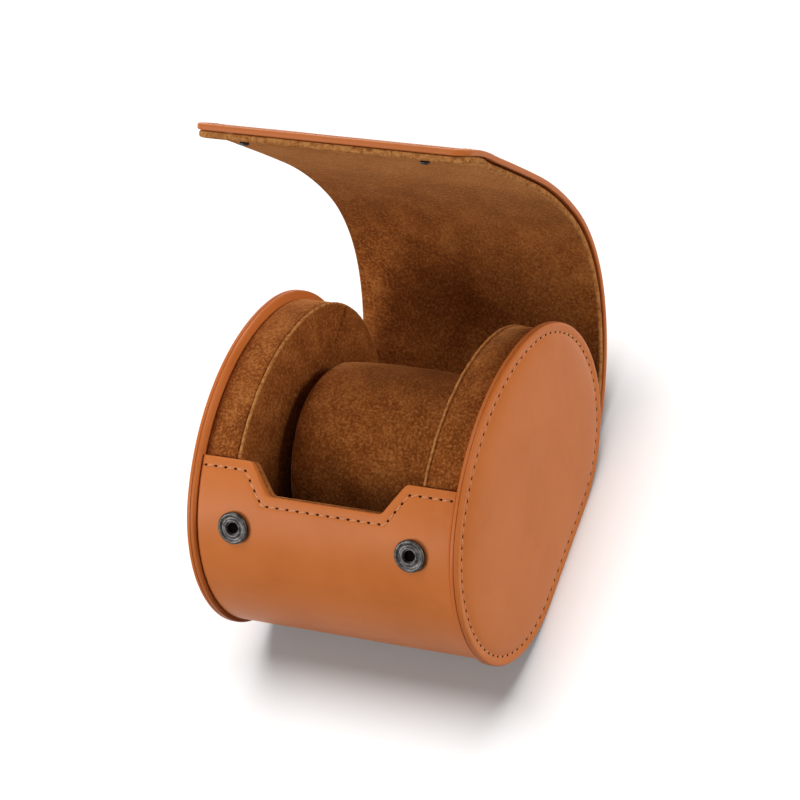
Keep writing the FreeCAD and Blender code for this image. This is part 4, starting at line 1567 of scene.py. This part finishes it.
@dataclass
class RollCushion:
    """The lift-out roll: a suede tube with drawn-in ends, plumped by a short cloth run.

    A press gives the depth of a seam or a dent, its place where it has one, and its width.
    """

    wardrobe: Wardrobe
    centre: Pair = (5.5, 34.0)
    half: float = 27.4
    radius: float = 29.5
    edge_radius: float = 28.5
    end_radius: float = 25.4
    end_stops: tuple[float, ...] = (2.5, 8.0, 14.0, 19.0, 22.5, 24.2)
    corner: float = 3.4
    corner_stops: tuple[int, ...] = (10, 25, 40, 55, 70, 82)
    corner_start: Pair = (0.4, 0.35)
    bow_points: int = 16
    seam: float = 26.0
    turns: int = 144
    fill: float = 0.85
    slack: float = 0.9
    slack_turns: int = 72
    voxel: float = 3.0
    pressure: float = 4.0
    frames: int = 20
    most: float = 1.3
    inner_shares: Point = (0.62, 0.6, 0.6)
    end_press: Pair = (0.45, 0.5)
    long_press: Point = (0.4, -150.0, 1.6)
    dent: float = 0.10

    def half_outline(self, shrink: float) -> list[Pair]:
        """Draw the roll's half outline from the left end to the right.

        Args:
            shrink: How much smaller the roll is all round.

        Returns:
            Pairs of X and radius.
        """
        side: list[Pair] = [(self.half - shrink, r - shrink) for r in self.end_stops]
        reach, bow = self.half - self.corner, self.radius - self.edge_radius
        less, more = self.corner_start
        for degrees in self.corner_stops:
            turn = math.radians(degrees)
            out = self.corner * math.cos(turn)
            rise = (self.edge_radius - self.end_radius + more) * math.sin(turn)
            side.append((reach + out - shrink, self.end_radius - less + rise - shrink))
        for x in np.linspace(reach, 0.0, self.bow_points):
            side.append((float(x), self.edge_radius + bow * (1 - (x / reach) ** 2) - shrink))
        return [(-x, r) for x, r in side[:-1]] + side[::-1]

    def skin(self, outline: Sequence[Pair], turns: int) -> Skin:
        """Turn an outline round the roll's axis and cap both ends.

        Args:
            outline: Pairs of X and radius.
            turns: Points round the axis.

        Returns:
            The points and the faces.
        """
        angles = np.linspace(0, 2 * math.pi, turns, endpoint=False)
        y, z = self.centre
        rings = [np.column_stack([np.full(turns, x), y + r * np.cos(angles), z + r * np.sin(angles)])
                 for x, r in outline]
        return swept(rings, False)

    def plumped(self) -> Optional[BVHTree]:
        """Blow up a remeshed copy of the roll as cloth.
        """
        scene = bpy.context.scene
        rough = add_mesh("roll_rough", *self.skin(self.half_outline(self.slack), self.slack_turns),
                         self.wardrobe.suede)

        def evaluated() -> bpy.types.Mesh:
            """Return the rough roll's mesh as its modifiers leave it."""
            graph = bpy.context.evaluated_depsgraph_get()
            return bpy.data.meshes.new_from_object(rough.evaluated_get(graph))

        remesh = rough.modifiers.new("remesh", "REMESH")
        remesh.mode, remesh.voxel_size = "VOXEL", self.voxel * MM
        rough.data = evaluated()
        rough.modifiers.clear()
        before = np.array([vertex.co for vertex in rough.data.vertices])
        cloth = rough.modifiers.new("cloth", "CLOTH")
        cloth.settings.use_pressure, cloth.settings.uniform_pressure_force = True, self.pressure
        cloth.settings.effector_weights.gravity = 0.0
        for number in range(self.frames):
            scene.frame_set(number + 1)
        shape = evaluated()
        moved = np.array([vertex.co for vertex in shape.vertices]) - before
        size = np.linalg.norm(moved, axis=1, keepdims=True)
        moved *= np.minimum(1.0, self.most * MM / np.maximum(size, 1e-9))
        shape.vertices.foreach_set("co", (before + moved).ravel())
        scene.frame_set(1)
        rough.modifiers.clear()
        rough.data = shape
        smooth = rough.modifiers.new("smooth", "SUBSURF")
        smooth.levels = smooth.render_levels = 1
        tree = BVHTree.FromObject(rough, bpy.context.evaluated_depsgraph_get())
        log.info("the roll's cloth moved by up to %.2f mm", float(size.max()) / MM)
        bpy.data.objects.remove(rough)
        return tree

    def build(self) -> Piece:
        """Build the roll on the plumped surface, press its seams in and dress it.

        Returns:
            The roll.
        """
        points, faces = self.skin(self.half_outline(0.0), self.turns)
        tree = self.plumped()
        y, z = self.centre
        centre = np.array([0.0, y, z])
        inner = centre + (points - centre) * np.array(self.inner_shares)
        for number, (start, point) in enumerate(zip(inner, points)):
            way = Vector(point - start).normalized()
            hit = tree.ray_cast(Vector(start) * MM, way)[0] if tree else None
            spot = np.array(hit) / MM if hit else point
            turn = math.degrees(math.atan2(spot[2] - z, spot[1] - y))
            points[number] = spot - np.array(way) * self.pressed(float(spot[0]), turn)
        piece = add_mesh("roll_cushion", points, faces, self.wardrobe.suede, sharp=60.0)
        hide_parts("cushion_cover", "cushion_core", "cushion_end_left", "cushion_end_right")
        return dress(piece, "cushion")

    def pressed(self, x: float, turn: float) -> float:
        """Work out how far the end seams, the long seam and slight dents lie below the plumped surface.

        Args:
            x: The point's X.
            turn: Its angle round the roll, in degrees from the back.

        Returns:
            The depth.
        """
        depth = self.end_press[0] * math.exp(-(((abs(x) - self.seam) / self.end_press[1]) ** 2))
        if abs(x) < self.seam:
            most, place, width = self.long_press
            depth += most * math.exp(-(((turn - place) / width) ** 2))
            depth += self.dent * math.sin(turn * 0.09 + x * 0.12) * math.sin(x * 0.2 + 0.7)
        return depth


# Fasteners


@dataclass
class Snaps:
    """The two snap fasteners: sockets on the front wall and studs on the flap's lining.

    Their profiles are pairs of radius and height.
    """

    wardrobe: Wardrobe
    path: SheetPath
    half: float = 28.6
    socket_angle: float = 45.3
    wrap_inset: float = 1.2
    lift: float = 0.05
    stud_setback: float = 5.0
    lid_depth: float = 4.0
    sharp: float = 50.0
    # Radius and height of the socket's hollow whose faces get painted shade
    well: Pair = (2.0, 0.8)
    socket: tuple[Pair, ...] = (
        (0.0, -0.22), (2.3, -0.22), (2.5, 0.0), (4.55, 0.0), (4.75, 0.1), (4.8, 0.3), (4.8, 0.75),
        (4.72, 1.02), (4.5, 1.22), (4.2, 1.3), (3.9, 1.26), (3.7, 1.14), (3.5, 1.0), (3.2, 0.97),
        (2.9, 1.03), (2.65, 1.18), (2.4, 1.28), (2.15, 1.24), (2.02, 1.1), (1.98, 0.9), (1.98, 0.0),
        (1.9, -0.1), (0.0, -0.1),
    )
    stud: tuple[Pair, ...] = (
        (0.0, 1.4), (0.6, 1.4), (0.95, 1.35), (1.25, 1.2), (1.42, 1.0), (1.47, 0.8), (1.42, 0.6),
        (1.28, 0.45), (1.26, 0.3), (1.45, 0.14), (1.5, 0.0), (1.5, -1.65), (1.0, -1.65), (1.0, -0.5),
        (0.0, -0.5),
    )

    def socket_seat(self, x: float) -> Matrix:
        """Find where a socket stands on the front wall.

        Args:
            x: The socket's X.

        Returns:
            Its place and tilt, in millimetres.
        """
        y, z = self.path.case.point(-self.socket_angle, self.wrap_inset - self.lift)
        return Matrix.Translation((x, y, z)) @ Matrix.Rotation(math.radians(self.socket_angle), 4, "X")

    def stud_seat(self, x: float) -> Matrix:
        """Find where a stud stands on the flap's lining.

        Args:
            x: The stud's X.

        Returns:
            Its place and tilt, in millimetres.
        """
        station = self.path.end - self.stud_setback
        place = self.path.at(station, self.lid_depth)
        inward = -self.path.outward(station)
        tilt = math.atan2(-inward[0], inward[1])
        return Matrix.Translation((x, *place)) @ Matrix.Rotation(tilt, 4, "X")

    def build(self) -> None:
        """Build the fasteners of both sides."""
        for side in Side:
            x, label = self.half * side.value, side.label
            low, high, metal = self.socket_seat(x), self.stud_seat(x), self.wardrobe.metal
            ring = add_mesh(f"socket_ring_{label}", *lathed(self.socket, low), metal, sharp=self.sharp)
            self.shade_well(ring, low)
            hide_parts(f"socket_{label}")
            dress(ring, "base")
            knob = add_mesh(f"stud_knob_{label}", *lathed(self.stud, high), metal, sharp=self.sharp)
            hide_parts(f"stud_{label}")
            dress(knob, "lid_flap")

    def shade_well(self, ring: Piece, seat: Matrix) -> None:
        """Paint shade into the socket's hollow: the faces inside it get the dark painted-shade material.

        Args:
            ring: The socket.
            seat: Where it stands.
        """
        ring.data.materials.append(self.wardrobe.well)
        back = seat.inverted()
        radius, height = self.well
        for face in ring.data.polygons:
            spot = back @ (face.center / MM)
            if math.hypot(spot.x, spot.y) < radius and spot.z < height:
                face.material_index = 1


# Stitches


@dataclass
class SeamLine:
    """A sewn line: its points in millimetres, the surface's normals there, and whether it is closed."""

    points: np.ndarray
    ups: np.ndarray
    closed: bool
    step: float = 0.6
    least: int = 16

    def joined(self, rows: np.ndarray) -> np.ndarray:
        """Return rows with the first one repeated at the end if the line closes on itself."""
        return np.vstack([rows, rows[:1]]) if self.closed else rows

    def length(self) -> float:
        """Return the line's length."""
        return float(np.linalg.norm(np.diff(self.joined(self.points), axis=0), axis=1).sum())

    def moved(self, shift: float, lift: float) -> "SeamLine":
        """Start the line later, end it as much earlier if it is open, and lift it.

        Args:
            shift: How much later it starts.
            lift: How far it is lifted off the surface.

        Returns:
            The new line, in even steps.
        """
        points, ups = self.joined(self.points), self.joined(self.ups)
        along = np.concatenate([[0], np.cumsum(np.linalg.norm(np.diff(points, axis=0), axis=1))])
        total = along[-1]
        count = max(self.least, int(total / self.step))
        if self.closed:
            places = (np.arange(count) * total / count + shift) % total
        else:
            places = np.linspace(shift, total - shift, count)
        point, up = (np.column_stack([np.interp(places, along, rows[:, axis]) for axis in range(3)])
                     for rows in (points, ups))
        up /= np.linalg.norm(up, axis=1, keepdims=True)
        return SeamLine(point + up * lift, up, self.closed)


@dataclass
class Stitching:
    """A Geometry Nodes tree that sets rounded beads at equal steps along a line, and the seams made with it.

    The stitch and the hole are given as length, width and height, a stitch's length as a share of the pitch.
    """

    wardrobe: Wardrobe
    pitch: float = 3.3
    slant: float = 7.0
    stitch: Point = (0.72, 0.72, 0.42)
    stitch_lift: float = 0.06
    # A hole is a flat dark bead of painted shade, sunk in the seam's groove
    hole: Point = (0.92, 0.72, 0.16)
    hole_lift: float = 0.05
    bead_segments: int = 10
    bead_rings: int = 6

    def __post_init__(self) -> None:
        """Build the tree, with an input for each size and for the finish."""
        self.tree = bpy.data.node_groups.new("stitch_row", "GeometryNodeTree")
        self.inputs: dict[str, str] = {}
        for name, kind in (("Line", "Geometry"), ("Count", "Int"), ("Length", "Float"), ("Width", "Float"),
                           ("Height", "Float"), ("Slant", "Float"), ("Finish", "Material")):
            socket = self.tree.interface.new_socket(name, in_out="INPUT", socket_type=f"NodeSocket{kind}")
            self.inputs[name] = socket.identifier
        self.tree.interface.new_socket("Stitches", in_out="OUTPUT", socket_type="NodeSocketGeometry")
        source, target = self.node("NodeGroupInput"), self.node("NodeGroupOutput")
        curve, spread = self.node("GeometryNodeMeshToCurve"), self.node("GeometryNodeResampleCurve")
        bead, scale = self.node("GeometryNodeMeshUVSphere"), self.node("ShaderNodeCombineXYZ")
        for name, value in (("Segments", self.bead_segments), ("Rings", self.bead_rings), ("Radius", 0.5)):
            bead.inputs[name].default_value = value
        up, tangent = self.node("GeometryNodeInputNamedAttribute"), self.node("GeometryNodeInputTangent")
        up.data_type = "FLOAT_VECTOR"
        up.inputs["Name"].default_value = "up"
        axes, turn = self.node("FunctionNodeAxesToRotation"), self.node("FunctionNodeRotateRotation")
        axes.primary_axis, axes.secondary_axis = "Z", "X"
        turn.rotation_space = "LOCAL"
        slant, euler = self.node("ShaderNodeCombineXYZ"), self.node("FunctionNodeEulerToRotation")
        rows, real = self.node("GeometryNodeInstanceOnPoints"), self.node("GeometryNodeRealizeInstances")
        finish = self.node("GeometryNodeSetMaterial")
        for output, entry in (
            (source.outputs["Line"], curve.inputs["Mesh"]), (curve.outputs["Curve"], spread.inputs["Curve"]),
            (source.outputs["Count"], spread.inputs["Count"]), (source.outputs["Length"], scale.inputs[0]),
            (source.outputs["Width"], scale.inputs[1]), (source.outputs["Height"], scale.inputs[2]),
            (up.outputs["Attribute"], axes.inputs["Primary Axis"]),
            (tangent.outputs["Tangent"], axes.inputs["Secondary Axis"]),
            (source.outputs["Slant"], slant.inputs[2]), (slant.outputs[0], euler.inputs[0]),
            (axes.outputs["Rotation"], turn.inputs["Rotation"]), (euler.outputs[0], turn.inputs["Rotate By"]),
            (spread.outputs["Curve"], rows.inputs["Points"]), (bead.outputs["Mesh"], rows.inputs["Instance"]),
            (turn.outputs["Rotation"], rows.inputs["Rotation"]), (scale.outputs[0], rows.inputs["Scale"]),
            (rows.outputs["Instances"], real.inputs["Geometry"]),
            (real.outputs["Geometry"], finish.inputs["Geometry"]),
            (source.outputs["Finish"], finish.inputs["Material"]),
            (finish.outputs["Geometry"], target.inputs[0]),
        ):
            self.tree.links.new(output, entry)

    def node(self, kind: str) -> bpy.types.Node:
        """Add a node to the tree."""
        return self.tree.nodes.new(kind)

    def row(self, name: str, line: SeamLine, count: int, size: Point, slant: float,
            finish: Material) -> Piece:
        """Set beads along a line.

        Args:
            name: The row's name.
            line: Where the beads lie.
            count: How many there are.
            size: A bead's length, width and height in millimetres.
            slant: How far the beads are turned from the line, in degrees.
            finish: Their material.

        Returns:
            The row as a plain mesh object.
        """
        number = len(line.points)
        edges = [(k, k + 1) for k in range(number - 1)] + ([(number - 1, 0)] if line.closed else [])
        mesh = bpy.data.meshes.new(name)
        mesh.from_pydata([tuple(point) for point in line.points * MM], edges, [])
        mesh.attributes.new("up", "FLOAT_VECTOR", "POINT").data.foreach_set("vector", line.ups.ravel())
        piece = new_object(name, mesh)
        modifier = piece.modifiers.new("stitches", "NODES")
        modifier.node_group = self.tree
        values = (count, *(value * MM for value in size), math.radians(slant), finish)
        for key, value in zip(("Count", "Length", "Width", "Height", "Slant", "Finish"), values):
            modifier[self.inputs[key]] = value
        graph = bpy.context.evaluated_depsgraph_get()
        shape = bpy.data.meshes.new_from_object(piece.evaluated_get(graph))
        piece.modifiers.clear()
        piece.data = shape
        shape.shade_smooth()
        return piece

    def sew(self, name: str, line: SeamLine, node: str, body: Optional[str] = None) -> list[Piece]:
        """Sew one seam: a row of stitches, and flat dark beads of painted shade for the needle holes between
        them.

        Args:
            name: The seam's name.
            line: Where it runs, on the surface.
            node: The CAD node that the stitches stand for.
            body: The body that it rides on, or None for a seam that is given no body here.

        Returns:
            The stitches and the holes.
        """
        count = round(line.length() / self.pitch)
        step = line.length() / count
        share, width, height = self.stitch
        between, through = line.moved(step / 2, self.stitch_lift), line.moved(0.0, self.hole_lift)
        stitches = self.row(f"{name}_stitches", between, count, (step * share, width, height), self.slant,
                            self.wardrobe.thread)
        # The holes are dark beads of painted shade where the needle went through
        holes = self.row(f"{name}_holes", through, count + (not line.closed), self.hole, 0.0,
                         self.wardrobe.hole)
        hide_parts(node)
        return [dress(piece, body) if body else piece for piece in (stitches, holes)]


# The studio


@dataclass
class Studio:
    """A white floor, soft light and a camera at the photograph's angle.

    A lamp is a place in metres, a size in metres and a power; the floor's sun has its size in degrees.
    """

    back: Point = (0.4424, -0.4293, 0.7874)
    right: Point = (0.8885, 0.3295, -0.3195)
    up: Point = (-0.1222, 0.8410, 0.5272)
    distance: float = 1056.0
    rise: float = 22.8
    aim_height: float = 34.96
    lens: float = 160.5
    sensor: float = 36.0
    clip: Pair = (0.01, 50.0)
    white: Colour = (1.0, 1.0, 1.0, 1.0)
    sky: float = 0.16
    sky_colour: Colour = (1.0, 0.985, 0.97, 1.0)
    floor_reach: float = 4.0
    floor_unseen: Colour = (0.15, 0.145, 0.142, 1.0)
    floor_seen: Colour = (1.0, 0.99, 0.985, 1.0)
    floor_glow: float = 0.15
    lamp_aim: Point = (0.0, 0.0, 0.05)
    lamps: tuple[tuple[Point, float, float], ...] = (
        ((-0.35, 0.10, 1.10), 0.50, 3.2),
        ((-0.85, -0.90, 0.72), 0.60, 13.0),
        ((1.25, 0.25, 0.40), 0.60, 10.8),
        ((-0.45, 1.15, 0.75), 0.60, 8.5),
    )
    floor_sun: tuple[Point, float, float] = ((-0.04, 0.24, 1.10), 38.0, 3.45)

    def camera(self) -> None:
        """Set the camera."""
        data = bpy.data.cameras.new("camera")
        data.lens, data.sensor_width = self.lens, self.sensor
        data.clip_start, data.clip_end = self.clip
        camera = new_object("camera", data)
        back, right, up = (Vector(axis).normalized() for axis in (self.back, self.right, self.up))
        place = (Vector((0, 0, self.aim_height)) + back * self.distance + up * self.rise) * MM
        camera.matrix_world = Matrix.Translation(place) @ Matrix((right, up, back)).transposed().to_4x4()
        bpy.context.scene.camera = camera

    def seen(self, tree: bpy.types.NodeTree) -> Socket:
        """Tell what the camera sees, directly, mirrored or through something.

        Args:
            tree: The node tree to add this to.

        Returns:
            A factor that is 1 for it and 0 for all other light.
        """
        path = tree.nodes.new("ShaderNodeLightPath")
        factor = path.outputs["Is Camera Ray"]
        for name in ("Is Glossy Ray", "Is Transmission Ray"):
            most = tree.nodes.new("ShaderNodeMath")
            most.operation = "MAXIMUM"
            tree.links.new(factor, most.inputs[0])
            tree.links.new(path.outputs[name], most.inputs[1])
            factor = most.outputs[0]
        return factor

    def floor(self) -> Piece:
        """Lay the floor, lifted to white for the camera while it keeps the shadow.

        Returns:
            The floor.
        """
        sheet = NodeSheet("studio_floor")
        tree, tint = sheet.tree, sheet.node("Mix")
        tint.data_type = "RGBA"
        tint.inputs[MIX_BASE].default_value = self.floor_unseen
        tint.inputs[MIX_OTHER].default_value = self.floor_seen
        sheet.link(self.seen(tree), tint.inputs[MIX_FACTOR])
        sheet.drive("Base Color", tint.outputs[MIX_RESULT])
        material = sheet.finish(roughness=0.9, specular_IOR_level=0.0)
        glow, mix, share = sheet.node("Emission"), sheet.node("MixShader"), sheet.node("Math")
        share.operation = "MULTIPLY"
        share.inputs[1].default_value = self.floor_glow
        for source, target in ((self.seen(tree), share.inputs[0]), (share.outputs[0], mix.inputs[0]),
                               (sheet.shader.outputs[0], mix.inputs[1]), (glow.outputs[0], mix.inputs[2]),
                               (mix.outputs[0], tree.nodes["Material Output"].inputs["Surface"])):
            sheet.link(source, target)
        mesh = bpy.data.meshes.new("floor")
        reach = self.floor_reach
        corners = [(-reach, -reach, 0), (reach, -reach, 0), (reach, reach, 0), (-reach, reach, 0)]
        mesh.from_pydata(corners, [], [(0, 1, 2, 3)])
        mesh.materials.append(material)
        floor = new_object("floor", mesh)
        return floor

    def sky_light(self) -> None:
        """Set the world: even light on the object, white behind it."""
        world = bpy.data.worlds.new("studio")
        world.use_nodes = True
        tree = world.node_tree
        plain, white, mix = tree.nodes["Background"], *(
            tree.nodes.new(kind) for kind in ("ShaderNodeBackground", "ShaderNodeMixShader"))
        plain.inputs["Color"].default_value = self.sky_colour
        plain.inputs["Strength"].default_value = self.sky
        white.inputs["Color"].default_value = self.white
        for source, target in ((self.seen(tree), mix.inputs[0]), (plain.outputs[0], mix.inputs[1]),
                               (white.outputs[0], mix.inputs[2]),
                               (mix.outputs[0], tree.nodes["World Output"].inputs["Surface"])):
            tree.links.new(source, target)
        bpy.context.scene.world = world

    def lamp(self, name: str, place: Point, lamp: bpy.types.Light) -> Piece:
        """Hang a lamp that looks at the object.

        Args:
            name: The lamp's name.
            place: Where it hangs, in metres.
            lamp: Its light.

        Returns:
            The lamp's object.
        """
        holder = new_object(name, lamp)
        holder.location = place
        holder.rotation_euler = (Vector(place) - Vector(self.lamp_aim)).to_track_quat("Z", "Y").to_euler()
        return holder

    def build(self) -> None:
        """Set up the camera, the floor and the light: a sun for the floor alone, and lamps for all but it."""
        self.camera()
        floor = self.floor()
        self.sky_light()
        for number, (place, size, power) in enumerate((self.floor_sun, *self.lamps)):
            light = bpy.data.lights.new(f"soft_lamp_{number}", "AREA" if number else "SUN")
            light.energy = power
            if number:
                light.size = size
            else:
                light.angle = math.radians(size)
            holder = self.lamp(light.name, place, light)
            reach = bpy.data.collections.new(f"{light.name}_reach")
            reach.objects.link(floor)
            reach.collection_objects[0].light_linking.link_state = "EXCLUDE" if number else "INCLUDE"
            holder.light_linking.receiver_collection = reach
        bpy.context.scene.view_settings.view_transform = "Standard"


@dataclass
class Cores:
    """The boards, block cores, springs, rivets and caps, which keep their CAD shape."""

    wardrobe: Wardrobe
    metal: tuple[str, ...] = ("socket_spring", "socket_rivet", "snap_cap")

    def dress(self) -> None:
        """Give each of them its material."""
        for name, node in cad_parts.items():
            if "board" in name or name.startswith("block_core"):
                finish = self.wardrobe.board
            elif name.startswith(self.metal):
                finish = self.wardrobe.metal
            else:
                continue
            node.data.materials.clear()
            node.data.materials.append(finish)
            log.info("%s keeps its CAD shape", name)


def main() -> None:
    """Build the case's sub-assemblies in order and set up the studio."""
    logging.basicConfig(level=logging.INFO, format="%(message)s")
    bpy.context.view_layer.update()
    Studio().build()
    wardrobe, path = Wardrobe(), SheetPath()
    stitching = Stitching(wardrobe)
    leather = Cover(path, Layer.LEATHER, wardrobe)
    leather.build()
    Cover(path, Layer.LINING, wardrobe).build()
    for side in Side:
        panel = EndPanel(side, wardrobe)
        panel.build()
        stitching.sew(f"panel_{side.label}", panel.seam_line(), f"end_stitching_{side.label}", "base")
        EndBlock(side, wardrobe).build()
    stitching.sew("front", leather.front_seam(), "base_stitching", "base")
    for piece in stitching.sew("flap", leather.flap_seam(), "flap_stitching"):
        leather.bend_across(piece, leather.tip)
    Snaps(wardrobe, path).build()
    RollCushion(wardrobe).build()
    Cores(wardrobe).dress()


if __name__ == "__main__":
    main()
